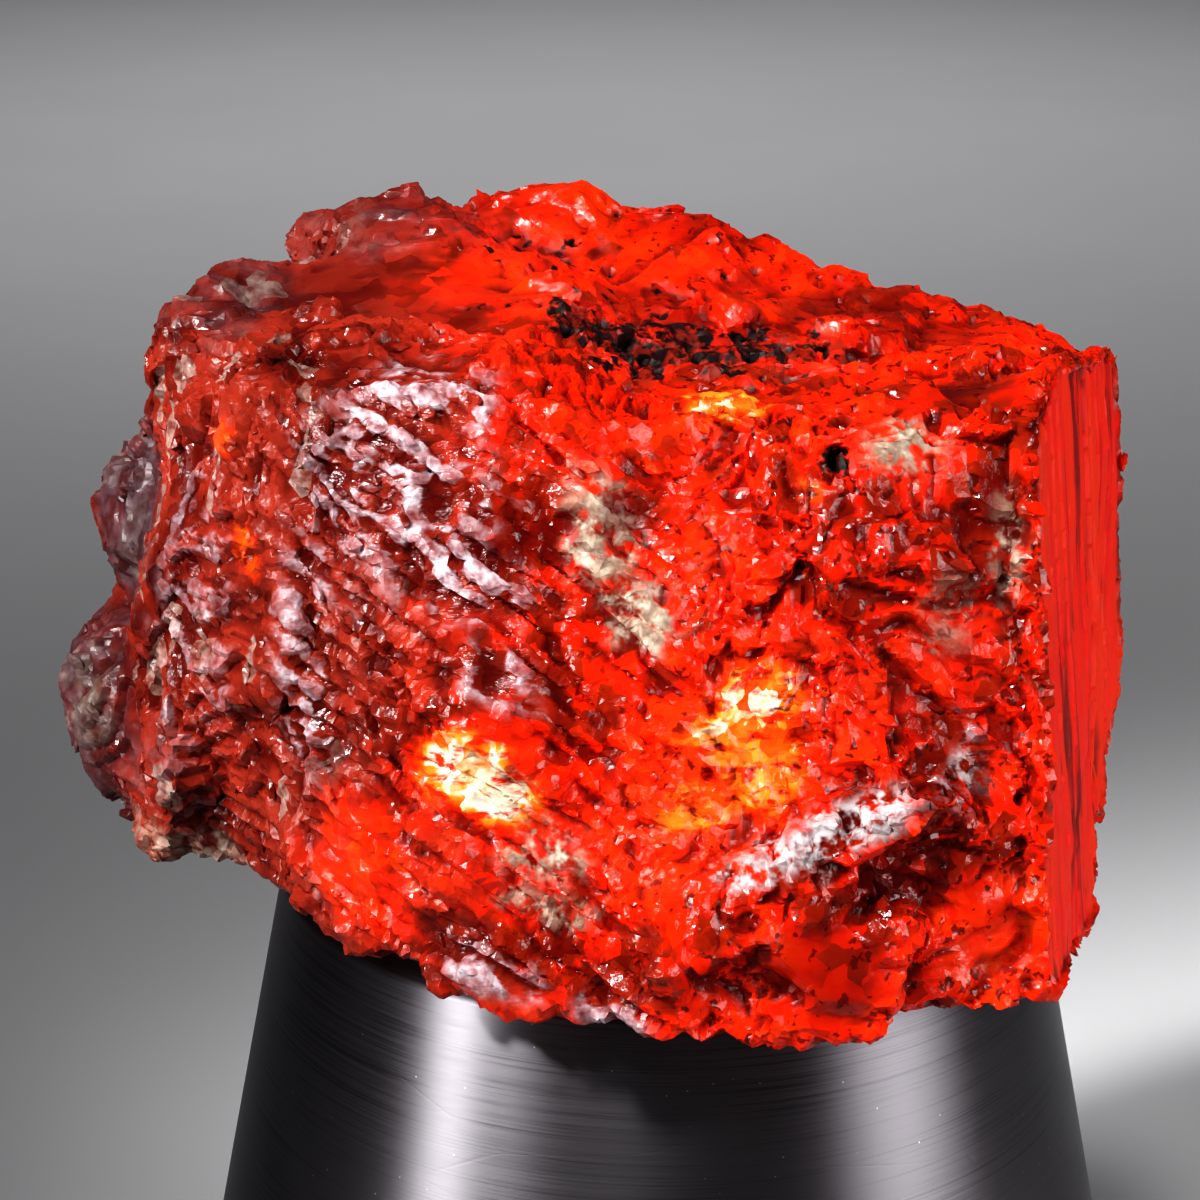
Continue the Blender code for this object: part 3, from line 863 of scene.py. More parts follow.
@dataclass(frozen=True)
class RubySphalerite:
    """Glossy red-orange sphalerite with frosted areas with painted highlights, pale areas, painted glow, deep red
    areas, painted shade below the ledges, in the hollows and in the pits, a painted glint and crusted areas.
    """

    body: Stops = ((0.46, (0.20, 0.006, 0.002)), (0.62, (0.42, 0.026, 0.004)),
                   (0.71, (0.95, 0.026, 0.002)), (0.86, (1.0, 0.052, 0.003)))
    dull: Stops = ((0.44, (0.055, 0.004, 0.003)), (0.58, (0.15, 0.012, 0.006)), (0.74, (0.34, 0.038, 0.018)))
    upright: Stops = ((0.36, (0.26, 0.005, 0.001)), (0.44, (1.0, 0.012, 0.001)), (0.58, (1.0, 0.040, 0.002)))
    flakes: Stops = ((0.35, (0.22, 0.07, 0.05)), (0.65, (0.56, 0.42, 0.36)))
    # Frost: pale colour with painted highlights on the crests
    frost: Stops = ((0.30, (0.30, 0.07, 0.07)), (0.50, (0.56, 0.34, 0.36)), (0.68, (0.88, 0.80, 0.86)))
    # Painted glow: colours that stand in for light coming through the stone
    glow: Stops = ((0.40, (1.0, 0.035, 0.003)), (0.60, (1.0, 0.12, 0.006)),
                   (0.78, (1.0, 0.36, 0.03)), (0.88, (1.0, 0.92, 0.72)))
    pale: Stops = ((0.30, (0.20, 0.10, 0.07)), (0.52, (0.46, 0.33, 0.24)), (0.72, (0.74, 0.64, 0.52)))
    crust: Stops = ((0.34, (0.026, 0.008, 0.009)), (0.46, (0.070, 0.032, 0.038)),
                    (0.58, (0.12, 0.085, 0.10)), (0.72, (0.36, 0.30, 0.25)))
    # Painted glint: the silvery band's colours
    silver: Stops = ((0.35, (0.36, 0.24, 0.24)), (0.62, (0.80, 0.74, 0.74)))
    speck: Triple = (0.05, 0.003, 0.002)
    # Painted shade in the hollows
    hollow: Triple = (0.11, 0.004, 0.002)
    # Deep red, also painted shade below the ledges
    dark: Triple = (0.13, 0.004, 0.002)
    # Painted shade in the cavity and pits
    black: Triple = (0.016, 0.002, 0.001)
    clear_roughness: tuple[float, float] = (0.14, 0.34)
    roughnesses: tuple[tuple[Look | Trace, float], ...] = (
        (Look.FROST_AND_HIGHLIGHT, 0.22), (Look.PALE, 0.5), (Look.CRUST, 0.42),
        (Look.SMOOTH, 0.20), (Trace.RIGHT_FACE, 0.6), (Look.BLACK, 0.8))
    ior: float = 1.6
    specular: float = 0.3

    def build(self) -> bpy.types.Material:
        """Make the material.

        Returns:
            The finished stone material.
        """
        write = MaterialWriter("ruby_sphalerite")
        pattern = StonePatterns.laid(write)
        colour = self.gem_colour(write, pattern)
        for layer in (self.flake_layer, self.frost_and_highlight_layer, self.painted_glow_layer, self.pale_layer,
                      self.crust_layer, self.deep_red_and_ledge_shade_layer, self.painted_glint_layer, self.pit_shade_layer):
            share, over = layer(write, pattern)
            colour = write.mix(share, colour, over)
        return write.finish({
            "Base Color": colour,
            "Roughness": self.roughness(write, pattern),
            "Normal": self.relief(write, pattern),
            "IOR": self.ior,
            "Specular IOR Level": self.specular,
        })

    def gem_colour(self, write: MaterialWriter, pattern: StonePatterns) -> Socket:
        """Add the body colour: every step has its own tone, the left is duller and painted shade darkens the
        hollows to deep red.

        Args:
            write: the material's writer.
            pattern: the shared patterns.

        Returns:
            The colour.
        """
        tone = write.plus(write.times(pattern.veils, 0.90), write.times(pattern.flecks, 0.26))
        tone = write.plus(tone, write.times(write.share(Trace.TONE), 0.22))
        tone = write.plus(tone, write.times(write.share(Look.VIVID), 0.12))
        across = write.along(pattern.place, "X")
        specks = write.times(write.ramp(pattern.fine, 0.60, 0.66), write.ramp(across, -3.5, 0.5, 0.0, 0.8))
        colour = write.mix(specks, write.colours(tone, self.body), self.speck)
        left = write.times(write.ramp(across, -1.5, -5.5, 0.0, 0.94), write.minus(1.0, write.share(Look.VIVID)))
        dull = write.colours(tone, self.dull)
        colour = write.mix(left, colour, dull)
        colour = write.mix(write.times(write.share(Look.FROST_AND_HIGHLIGHT), 0.9), colour, dull)
        upright = write.colours(write.noise(write.scaled((1.0, 1.0, 0.045)), 1.0, 3.0, 0.7), self.upright)
        colour = write.mix(write.times(write.share(Trace.RIGHT_FACE), 0.95), colour, upright)
        # Painted shade: the hollows are darkened towards deep red
        return write.mix(write.ramp(write.share(Trace.PAINTED_HOLLOW_SHADE), 0.1, 0.8, 0.0, 0.75), colour, self.hollow)

    def flake_layer(self, write: MaterialWriter, pattern: StonePatterns) -> Layer:
        """Add pale flakes on the far left.

        Args:
            write: the material's writer.
            pattern: the shared patterns.

        Returns:
            The layer's share and colour.
        """
        flakes = write.cells(write.scaled((1.0, 1.0, 0.48), -8.0), 2.2, output="Color")
        side = write.ramp(write.along(pattern.place, "X"), -5.2, -6.8, 0.0, 0.75)
        return write.times(write.ramp(flakes, 0.77, 0.80), side), write.colours(pattern.fine, self.flakes)

    def frost_and_highlight_layer(self, write: MaterialWriter, pattern: StonePatterns) -> Layer:
        """Add pale frost and painted highlights on the crests of the ridges.

        Args:
            write: the material's writer.
            pattern: the shared patterns.

        Returns:
            The layer's share and colour.
        """
        crests = write.plus(write.times(write.share(Trace.CREST), 0.75), write.times(pattern.streak, 0.9))
        share = write.times(write.share(Look.FROST_AND_HIGHLIGHT), write.ramp(crests, 0.54, 0.80))
        return share, write.colours(pattern.fine, self.frost)

    def painted_glow_layer(self, write: MaterialWriter, pattern: StonePatterns) -> Layer:
        """Add painted glow, as of light coming through, whiter towards each patch's middle.

        Args:
            write: the material's writer.
            pattern: the shared patterns.

        Returns:
            The layer's share and colour.
        """
        glow = write.share(Look.GLOW)
        glow_brightness = write.plus(write.times(glow, 0.66), write.times(pattern.fine, 0.25))
        glow_brightness = write.plus(glow_brightness, write.times(pattern.flecks, 0.35))
        share = write.times(write.ramp(glow, 0.05, 0.6), write.ramp(pattern.streak, 0.38, 0.54))
        return share, write.colours(glow_brightness, self.glow)

    def pale_layer(self, write: MaterialWriter, pattern: StonePatterns) -> Layer:
        """Add the cream patches.

        Args:
            write: the material's writer.
            pattern: the shared patterns.

        Returns:
            The layer's share and colour.
        """
        crests = write.plus(write.times(write.share(Trace.CREST), 0.4), pattern.fine)
        share = write.times(write.share(Look.PALE), write.ramp(crests, 0.42, 0.68))
        return share, write.colours(pattern.fine, self.pale)

    def crust_layer(self, write: MaterialWriter, pattern: StonePatterns) -> Layer:
        """Add the grey-brown skin of the grown-on ends.

        Args:
            write: the material's writer.
            pattern: the shared patterns.

        Returns:
            The layer's share and colour.
        """
        mottle = write.noise(pattern.place, 1.3, 3.0, 0.65)
        return write.times(write.share(Look.CRUST), 0.95), write.colours(mottle, self.crust)

    def deep_red_and_ledge_shade_layer(self, write: MaterialWriter, pattern: StonePatterns) -> Layer:
        """Add the deep red areas and the painted shade below the ledges."""
        return write.times(write.share(Look.DARK), 0.85), self.dark

    def painted_glint_layer(self, write: MaterialWriter, pattern: StonePatterns) -> Layer:
        """Add the silvery band, a painted glint.

        Args:
            write: the material's writer.
            pattern: the shared patterns.

        Returns:
            The layer's share and colour.
        """
        crests = write.plus(pattern.fine, write.times(write.share(Trace.CREST), 0.3))
        share = write.times(write.share(Look.PAINTED_GLINT), write.ramp(crests, 0.44, 0.62))
        return share, write.colours(pattern.fine, self.silver)

    def pit_shade_layer(self, write: MaterialWriter, pattern: StonePatterns) -> Layer:
        """Add painted shade, near black, in the cavity and its pits, broken into specks at its edges."""
        depth = write.plus(write.share(Look.BLACK), write.times(pattern.fine, 1.2))
        return write.ramp(depth, 1.08, 1.26), self.black

    def roughness(self, write: MaterialWriter, pattern: StonePatterns) -> Socket:
        """Add the gloss: glassy on clear faces, duller on frost, pale patches, crust and in the pits.

        Args:
            write: the material's writer.
            pattern: the shared patterns.

        Returns:
            The roughness.
        """
        value = write.ramp(pattern.veils, 0.3, 0.7, *self.clear_roughness)
        for look, rough in self.roughnesses:
            value = write.blend(write.share(look), value, rough)
        return value

    def relief(self, write: MaterialWriter, pattern: StonePatterns) -> Socket:
        """Add chips and striations finer than the mesh, weaker on the smooth cleavage faces.

        Args:
            write: the material's writer.
            pattern: the shared patterns.

        Returns:
            The normal.
        """
        rough = write.minus(1.0, write.times(write.share(Look.SMOOTH), 0.9))
        height = write.times(pattern.streak, write.plus(write.times(write.share(Look.FROST_AND_HIGHLIGHT), 0.8), 0.2))
        grains = write.noise(pattern.place, 12.0, 1.0, 0.6)
        height = write.plus(height, write.times(grains, write.times(rough, 0.12)))
        normal = write.bump(height, 0.08 * MM, 0.8)
        normal = write.tilted(normal, pattern.flecks, write.times(rough, 0.24))
        chips = write.cells(pattern.crooked, 5.5, output="Color")
        veiled = write.ramp(pattern.veils, 0.40, 0.62, 0.35, 1.0)
        return write.tilted(normal, chips, write.times(write.times(rough, 0.36), veiled))


@dataclass(frozen=True)
class BrushedMetal:
    """Turned metal with fine brush lines round the axis, specks and a few scratches."""

    light: Triple = (0.215, 0.202, 0.217)
    shade: Triple = (0.125, 0.116, 0.128)
    speck: Triple = (0.85, 0.85, 0.86)
    roughness: tuple[float, float] = (0.36, 0.44)
    anisotropy: float = 0.9
    line_depth: float = 0.0012 * MM
    scratch_depth: float = 0.002 * MM
    around: float = 150.0
    along: float = 24000.0

    def build(self) -> bpy.types.Material:
        """Make the material.

        Returns:
            The finished metal material.
        """
        write = MaterialWriter("brushed_metal")
        place = write.scaled()
        lines = write.noise(self.line_place(write), 1.0, 4.0, 0.7)
        tone = write.plus(write.times(lines, 0.7), write.times(write.noise(place, 0.35, 3.0, 0.5), 0.3))
        colour = write.colours(tone, ((0.35, self.shade), (0.50, self.light), (0.65, self.light)))
        specks = write.ramp(write.cells(place, 2.6), 0.03, 0.05, 0.65, 0.0)
        scratches = write.cells(write.scaled((0.16, 0.16, 0.9), 14.0), 0.5, "DISTANCE_TO_EDGE")
        return write.finish({
            "Base Color": write.mix(specks, colour, self.speck),
            "Roughness": write.ramp(lines, 0.3, 0.7, *self.roughness),
            "Normal": write.bump(write.ramp(scratches, 0.0, 0.006), self.scratch_depth, 0.4,
                                 write.bump(lines, self.line_depth, 0.6)),
            "Metallic": 1.0,
            "Anisotropic": self.anisotropy,
            "Anisotropic Rotation": 0.25,
            "Tangent": write.add("ShaderNodeTangent", direction_type="RADIAL", axis="Z").outputs["Tangent"],
        })

    def line_place(self, write: MaterialWriter) -> Socket:
        """Add coordinates that run slowly round the axis and fast along the turned outline.

        Args:
            write: the material's writer.

        Returns:
            The coordinates.
        """
        x, y, z = (write.along(write.place, axis) for axis in "XYZ")
        radius = write.sum_of("SQRT", write.plus(write.sum_of("POWER", x, 2.0), write.sum_of("POWER", y, 2.0)))
        return write.add("ShaderNodeCombineXYZ", {
            "X": write.times(x, self.around),
            "Y": write.times(y, self.around),
            "Z": write.times(write.minus(z, radius), self.along),
        }).outputs["Vector"]


@dataclass(frozen=True)
class PaleFloor:
    """Plain pale matt floor."""

    colour: Triple = (0.80, 0.80, 0.81)
    low_share: float = 0.97
    roughness: float = 0.7

    def build(self) -> bpy.types.Material:
        """Make the material.

        Returns:
            The finished floor material.
        """
        write = MaterialWriter("pale_floor")
        low = tuple(value * self.low_share for value in self.colour)
        tone = write.noise(write.scaled((0.06, 0.06, 0.06)), 1.0, 2.0)
        return write.finish({
            "Base Color": write.colours(tone, ((0.3, low), (0.7, self.colour))),
            "Roughness": self.roughness,
        })


@dataclass(frozen=True)
class CleavageChips:
    """Small angular chips of the stone's own crystal, scattered over its broken faces by Geometry Nodes."""

    per_square_mm: float = 1.7
    length: tuple[float, float] = (0.13, 0.30)
    width: float = 0.5
    thickness: float = 0.36
    tilt: float = 0.5
    grain: Triple = (0.80, -0.12, -0.58)
    seed: int = 11

    def scatter(self, stone: bpy.types.Object, finish: bpy.types.Material) -> None:
        """Sink the chips half way into the stone, as part of its own mesh.

        Args:
            stone: the dressed stone, which keeps a share named chips on its points.
            finish: the stone's material.
        """
        write = GeometryWriter("scatter_chips", {
            "Stone": "Geometry", "Density": "Float", "Seed": "Int", "Finish": "Material"})
        share = write.add("GeometryNodeInputNamedAttribute", {"Name": Trace.CHIPS.value}, data_type="FLOAT")
        points = write.add("GeometryNodeDistributePointsOnFaces", {
            "Mesh": write.given["Stone"],
            "Density": write.times(write.given["Density"], share.outputs["Attribute"]),
            "Seed": write.given["Seed"],
        })
        chips = write.add("GeometryNodeInstanceOnPoints", {
            "Points": points.outputs["Points"],
            "Instance": self.chip(write),
            "Rotation": self.rotation(write, points.outputs["Normal"]),
            "Scale": write.random(*self.length, 2),
        })
        together = write.add("GeometryNodeJoinGeometry", {"Geometry": write.given["Stone"]})
        realize = write.add("GeometryNodeRealizeInstances", {"Geometry": chips.outputs["Instances"]})
        write.feed(together.inputs["Geometry"], realize.outputs["Geometry"])
        write.run_on(stone, together.outputs["Geometry"], {
            "Density": self.per_square_mm / MM**2, "Seed": self.seed, "Finish": finish})

    def chip(self, write: GeometryWriter) -> Socket:
        """Add one chip of unit length, narrow and flat.

        Args:
            write: the tree's writer.

        Returns:
            The chip.
        """
        ball = write.add("GeometryNodeMeshIcoSphere", {"Radius": MM, "Subdivisions": 1})
        flat = write.add("GeometryNodeTransform", {
            "Geometry": ball.outputs["Mesh"], "Scale": (1.0, self.width, self.thickness)})
        return flat.outputs["Geometry"]

    def rotation(self, write: GeometryWriter, normal: Socket) -> Socket:
        """Add each chip's turn: it lies on the face, along the grain, and is tipped a little at random.

        Args:
            write: the tree's writer.
            normal: the face's normal.

        Returns:
            The turn.
        """
        outward = write.add("FunctionNodeAlignRotationToVector", {"Vector": normal}, axis="Z")
        grained = write.add("FunctionNodeAlignRotationToVector", {
            "Rotation": outward.outputs["Rotation"], "Vector": self.grain}, axis="X", pivot_axis="Z")
        tip = write.add("FunctionNodeEulerToRotation", {
            0: write.random((-self.tilt,) * 3, (self.tilt,) * 3, 1)})
        return write.add("FunctionNodeRotateRotation", {
            "Rotation": grained.outputs["Rotation"], "Rotate By": tip.outputs[0],
        }, rotation_space="LOCAL").outputs["Rotation"]


@dataclass(frozen=True)
class StoneRelief:
    """The broken relief of the stone's skin: steps, ridges, upright steps and pits (sizes in mm)."""

    rest: float = STAND_TOP + 0.42
    lip: float = STAND_TOP + 0.22
    seat_radius: float = 7.3
    normal_rounds: int = 12
    cleavage: Cleavage = Cleavage()
    terraces: tuple[Terraces, ...] = (Terraces(0.20, 0.6, 1.9, 3.0), Terraces(0.08, 0.8, 0.8, 31.0))
    least_share: float = 0.02
    slant_strength: float = 0.45
    crinkle_waves: tuple[Triple, ...] = ((1.05, 0.12, 2.6), (0.42, 0.05, 2.4))
    ridge_rows: tuple[tuple[float, float], ...] = ((0.58, 0.17), (0.27, 0.06))
    ridge_stretch: float = 3.6
    striation: float = 0.10
    striation_rows: tuple[tuple[float, float], ...] = ((0.75, 1.0), (0.33, 0.6), (0.17, 0.3))
    pit: float = 0.28
    pit_size: float = 0.55

    def shape(self, mesh: bpy.types.Mesh) -> None:
        """Break up a mesh, and keep on its points what the finish needs.

        Args:
            mesh: the stone's even, fine skin.
        """
        points, normals = read_points(mesh)
        for swell in SWELLS:
            swell.push(points)
        normals = spread(mesh, normals, self.normal_rounds)
        normals /= np.linalg.norm(normals, axis=1)[:, None]
        shares = patch_shares(points)
        right = smooth_step(normals @ self.cleavage.planes()[RIGHT_PLANE], 0.93, 0.985)
        frosted = self.frosted_side(points, normals)
        strength = 1.0 - 0.95 * np.maximum(shares[Look.SMOOTH], right)
        moves, tone = self.step_moves(points, normals, frosted, strength)
        heights = self.crinkles(points, frosted * strength) + self.striations(points, right)
        pits = self.pits(points, shares, normals)
        moves += normals * (heights - pits)[:, None]
        moved = points + moves
        inside = np.hypot(moved[:, 0], moved[:, 1]) < self.seat_radius
        moved[:, 2] = np.maximum(moved[:, 2] + STAND_TOP, np.where(inside, self.rest, self.lip))
        mesh.vertices.foreach_set("co", (moved * MM).astype(np.float32).ravel())
        keep(mesh, Trace.TONE, tone)
        keep(mesh, Trace.PIT, smooth_step(pits, 0.03, 0.16))
        keep(mesh, Trace.RIGHT_FACE, right)
        mesh.update()

    def step_moves(self, points: np.ndarray, normals: np.ndarray, frosted: np.ndarray,
                   strength: np.ndarray) -> tuple[np.ndarray, np.ndarray]:
        """Find how each point moves onto the flat steps of its cleavage planes.

        Args:
            points: places in mm.
            normals: their outward directions.
            frosted: how much each belongs to the slanting ridges of the front's left.
            strength: how far each may move, from 0 to 1.

        Returns:
            The moves in mm, and the tone of each point's step from 0 to 1.
        """
        planes = self.cleavage.planes()
        lean = np.stack([soft_noise(points, 2.4, 40.0 + number) * 0.16 for number in range(len(planes))], axis=1)
        lean[:, LEFT_PLANE] -= 0.30 * frosted
        plane_shares = self.cleavage.shares(normals, lean)
        behind = smooth_step(normals[:, 1], 0.1, 0.5)
        bent_points = points + behind[:, None] * self.bend(points)
        stepped = strength * (1.0 - 0.8 * frosted) * (1.0 - 0.35 * behind)
        moves = np.zeros_like(points)
        tone = np.zeros(len(points))
        for terraces in self.terraces:
            for number, plane in enumerate(planes):
                share = plane_shares[:, number]
                chosen = share > self.least_share
                if not chosen.any():
                    continue
                step, level = terraces.steps(points[chosen], bent_points[chosen], plane, number)
                moves[chosen] += (share[chosen] * stepped[chosen] * step)[:, None] * plane
                own = scattered(level * 12.9898 + number * 78.233)
                tone[chosen] += share[chosen] * own / len(self.terraces)
            slant = planes[LOW_LEFT_PLANE]
            slanted = replace(terraces, step=terraces.step * 1.4, wander=terraces.wander * 2.2)
            step = slanted.steps(points, points, slant, LOW_LEFT_PLANE)[0]
            moves += (frosted * strength * step * self.slant_strength)[:, None] * slant
        return moves, tone

    def bend(self, points: np.ndarray) -> np.ndarray:
        """A crooked shift of places, so that steps read there break off instead of running in rows."""
        return np.stack([soft_noise(points, 0.85, 60.0 + 7.0 * axis) * 1.1 for axis in range(3)], axis=1)

    def frosted_side(self, points: np.ndarray, normals: np.ndarray) -> np.ndarray:
        """How much each point belongs to the front's left, where two cleavages cross in slanting ridges."""
        across = smooth_step(points[:, 0], -7.4, -6.2) * (1.0 - smooth_step(points[:, 0], -0.8, 1.2))
        return across * smooth_step(-normals[:, 1], 0.35, 0.7)

    def crinkles(self, points: np.ndarray, frosted: np.ndarray) -> np.ndarray:
        """Find the height of the waves and saw-tooth ridges that run down to the right.

        Args:
            points: places in mm.
            frosted: how strong the ridges are at each.

        Returns:
            The heights in mm.
        """
        total = np.zeros(len(points))
        bend = soft_noise(points, 1.6, 21.0) * 0.55 + soft_noise(points, 0.6, 27.0) * 0.16
        for size, depth, stretch in self.crinkle_waves:
            drawn = drawn_out(points, stretch)
            drawn[:, 2] += bend
            total += depth * (1.0 - np.abs(soft_noise(drawn, size, size * 13.0)) * 2.4)
        drawn = drawn_out(points, self.ridge_stretch)
        broken = smooth_step(soft_noise(drawn, 0.7, 55.0), -0.45, 0.25)
        for spacing, depth in self.ridge_rows:
            row = drawn[:, 2] / spacing + soft_noise(drawn, 0.8, spacing * 31.0) * 1.1
            tooth = row - np.floor(row)
            total += depth * broken * smooth_step(tooth, 0.0, 0.72) * (1.0 - smooth_step(tooth, 0.76, 1.0))
        return total * frosted

    def striations(self, points: np.ndarray, right: np.ndarray) -> np.ndarray:
        """Find the height of the fine upright steps on the right cleavage face.

        Args:
            points: places in mm.
            right: how much each belongs to that face.

        Returns:
            The heights in mm.
        """
        across = points[:, 1] + 0.06 * np.sin(points[:, 2] * 1.7)
        steps = np.zeros(len(points))
        for width, depth in self.striation_rows:
            steps += depth * (scattered(np.floor(across / width) * 12.9898) - 0.5)
        return self.striation * steps * right

    def pits(self, points: np.ndarray, shares: dict[Look, np.ndarray], normals: np.ndarray) -> np.ndarray:
        """Find the depth of the small pits over the top and round its cavity.

        Args:
            points: places in mm.
            shares: how much of each look they have.
            normals: their outward directions.

        Returns:
            The depths in mm.
        """
        upward = smooth_step(normals[:, 2], 0.5, 0.8) * smooth_step(points[:, 0], -3.5, -1.0)
        near = np.maximum(upward * 0.45, shares[Look.BLACK])
        depth = np.zeros(len(points))
        for index in np.nonzero(near > self.least_share)[0]:
            distances, centres = noise.voronoi(Vector(points[index] / self.pit_size))
            own = noise.cell(centres[0] * 3.7)
            if own < 0.25 + 0.55 * near[index]:
                depth[index] = near[index] * max(0.0, 1.0 - distances[0] / 0.42)
        return self.pit * smooth_step(depth, 0.0, 0.8)


@dataclass(frozen=True)
class BrokenStone:
    """The stone: a fine skin over the CAD stone, its relief, its chips and the share of each look."""

    skin_step: float = 0.09 * MM
    most_triangles: int = 165000
    crest_rounds: int = 24
    crisp_angle: float = 20.0
    relief: StoneRelief = StoneRelief()
    chips: CleavageChips = CleavageChips()

    def build(self, source: bpy.types.Object, finish: bpy.types.Material) -> bpy.types.Object:
        """Make the stone.

        Args:
            source: the CAD stone to copy.
            finish: the stone's material.

        Returns:
            The finished stone.
        """
        mesh = fine_copy(source, self.skin_step)
        mesh.name = "sphalerite"
        stone = placed("sphalerite", mesh)
        self.relief.shape(mesh)
        thin = stone.modifiers.new("fewer_faces", "DECIMATE")
        thin.ratio = min(1.0, self.most_triangles / (2 * len(mesh.polygons)))
        freeze(stone)
        self.dress(stone.data, finish)
        self.chips.scatter(stone, finish)
        mark_sharp(stone.data, self.crisp_angle)
        return stone

    def dress(self, mesh: bpy.types.Mesh, finish: bpy.types.Material) -> None:
        """Keep the share of each look on the points, and give the mesh its material.

        Args:
            mesh: the thinned mesh.
            finish: the stone's material.
        """
        points, normals = read_points(mesh)
        shares = patch_shares(points)
        # Painted shade: the pits are coloured near black by their depth
        shares[Look.BLACK] = np.maximum(shares[Look.BLACK] * 0.6, kept(mesh, Trace.PIT) * 0.95)
        shares[Look.SMOOTH] = np.maximum(shares[Look.SMOOTH], kept(mesh, Trace.RIGHT_FACE))
        for look, share in shares.items():
            keep(mesh, look, share)
        height = np.einsum("ij,ij->i", points - spread(mesh, points, self.crest_rounds), normals)
        # Crests: the frost layer paints highlights on them
        keep(mesh, Trace.CREST, clamped(height, 0.0, 0.09))
        # Hollows: painted shade darkens them
        keep(mesh, Trace.PAINTED_HOLLOW_SHADE, clamped(-height, 0.0, 0.10))
        keep(mesh, Trace.CHIPS, self.chip_share(points, normals, shares))
        mesh.materials.clear()
        mesh.materials.append(finish)
        smooth_shade(mesh)

    def chip_share(self, points: np.ndarray, normals: np.ndarray, shares: dict[Look, np.ndarray]) -> np.ndarray:
        """Work out how thickly the chips lie: most on the frosted left, few on top, none on smooth faces.

        Args:
            points: places in mm over the stand's top.
            normals: their outward directions.
            shares: how much of each look they have.

        Returns:
            Shares from 0 to 1.
        """
        broken = 1.0 - np.clip(shares[Look.SMOOTH] * 1.3 + shares[Look.BLACK], 0.0, 1.0)
        grained = np.maximum(shares[Look.FROST_AND_HIGHLIGHT], smooth_step(-points[:, 0], 3.5, 6.5) * 0.8)
        away = smooth_step(points[:, 2], 1.2, 2.2) * (1.0 - 0.75 * smooth_step(normals[:, 2], 0.35, 0.75))
        return broken * (0.35 + 0.65 * grained) * away


@dataclass(frozen=True)
class TurnedStand:
    """The stand, turned by Geometry Nodes from its outline (sizes in mm)."""

    foot_radius: float = 9.97
    shoulder_radius: float = 0.2
    half_angle: float = 11.0
    height: float = STAND_TOP + 0.4
    chamfer: float = 0.3
    shoulder_steps: int = 16
    turn_steps: int = 256
    crisp_angle: float = 35.0

    def build(self, finish: bpy.types.Material) -> bpy.types.Object:
        """Make the stand.

        Args:
            finish: the stand's material.

        Returns:
            The finished stand.
        """
        mesh = bpy.data.meshes.new("stand_outline")
        points = [(radius * MM, 0.0, z * MM) for radius, z in self.outline()]
        mesh.from_pydata(points, [(i, i + 1) for i in range(len(points) - 1)], [])
        stand = placed("turned_stand", mesh)
        self.turn(stand, finish)
        smooth_shade(stand.data)
        mark_sharp(stand.data, self.crisp_angle)
        return stand

    def outline(self) -> list[tuple[float, float]]:
        """Draw half of the stand's section.

        Returns:
            Its points as (radius, z) in mm, from the middle of the top to the middle of the base.
        """
        angle = math.radians(self.half_angle)
        drop = self.height - self.shoulder_radius * (1.0 - math.sin(angle))
        side_top = self.foot_radius - (drop - self.chamfer) * math.tan(angle)
        flat = side_top - self.shoulder_radius * math.cos(angle)
        points = [(flat * share, self.height) for share in (0.0, 0.35, 0.7, 0.9)]
        for step in range(self.shoulder_steps + 1):
            turn = (math.pi / 2 - angle) * step / self.shoulder_steps
            points.append((flat + self.shoulder_radius * math.sin(turn),
                           self.height - self.shoulder_radius * (1.0 - math.cos(turn))))
        side_radius, side_z = points[-1]
        for share in (0.25, 0.5, 0.75, 1.0):
            points.append((side_radius + (self.foot_radius - side_radius) * share,
                           side_z + (self.chamfer - side_z) * share))
        base = self.foot_radius - self.chamfer
        return points + [(base, 0.0), (base / 2, 0.0), (0.0, 0.0)]

    def turn(self, stand: bpy.types.Object, finish: bpy.types.Material) -> None:
        """Turn the outline round the axis: a grid, one column for each angle, is set on its place.

        Args:
            stand: the object whose mesh is the outline.
            finish: the stand's material.
        """
        write = GeometryWriter("turn_outline", {
            "Outline": "Geometry", "Turn steps": "Int", "Finish": "Material"})
        outline, turn_steps = write.given["Outline"], write.given["Turn steps"]
        size = write.add("GeometryNodeAttributeDomainSize", {"Geometry": outline})
        count = size.outputs["Point Count"]
        grid = write.add("GeometryNodeMeshGrid", {"Vertices X": write.plus(turn_steps, 1.0), "Vertices Y": count})
        index = write.add("GeometryNodeInputIndex").outputs["Index"]
        column = write.sum_of("FLOOR", write.sum_of("DIVIDE", write.plus(index, 0.5), count))
        row = write.minus(index, write.times(column, count))
        sample = write.add("GeometryNodeSampleIndex", {
            "Geometry": outline,
            "Value": write.add("GeometryNodeInputPosition").outputs[0],
            "Index": write.add("FunctionNodeFloatToInt", {0: row}, rounding_mode="ROUND").outputs[0],
        }, data_type="FLOAT_VECTOR")
        turned = write.add("ShaderNodeVectorRotate", {
            "Vector": sample.outputs["Value"],
            "Angle": write.times(write.sum_of("DIVIDE", column, turn_steps), 2.0 * math.pi),
        }, rotation_type="Z_AXIS")
        place = write.add("GeometryNodeSetPosition", {
            "Geometry": grid.outputs["Mesh"], "Position": turned.outputs[0]})
        merge = write.add("GeometryNodeMergeByDistance", {
            "Geometry": place.outputs["Geometry"], "Distance": 0.001 * MM})
        realize = write.add("GeometryNodeRealizeInstances", {"Geometry": merge.outputs["Geometry"]})
        write.run_on(stand, realize.outputs["Geometry"], {"Turn steps": self.turn_steps, "Finish": finish})


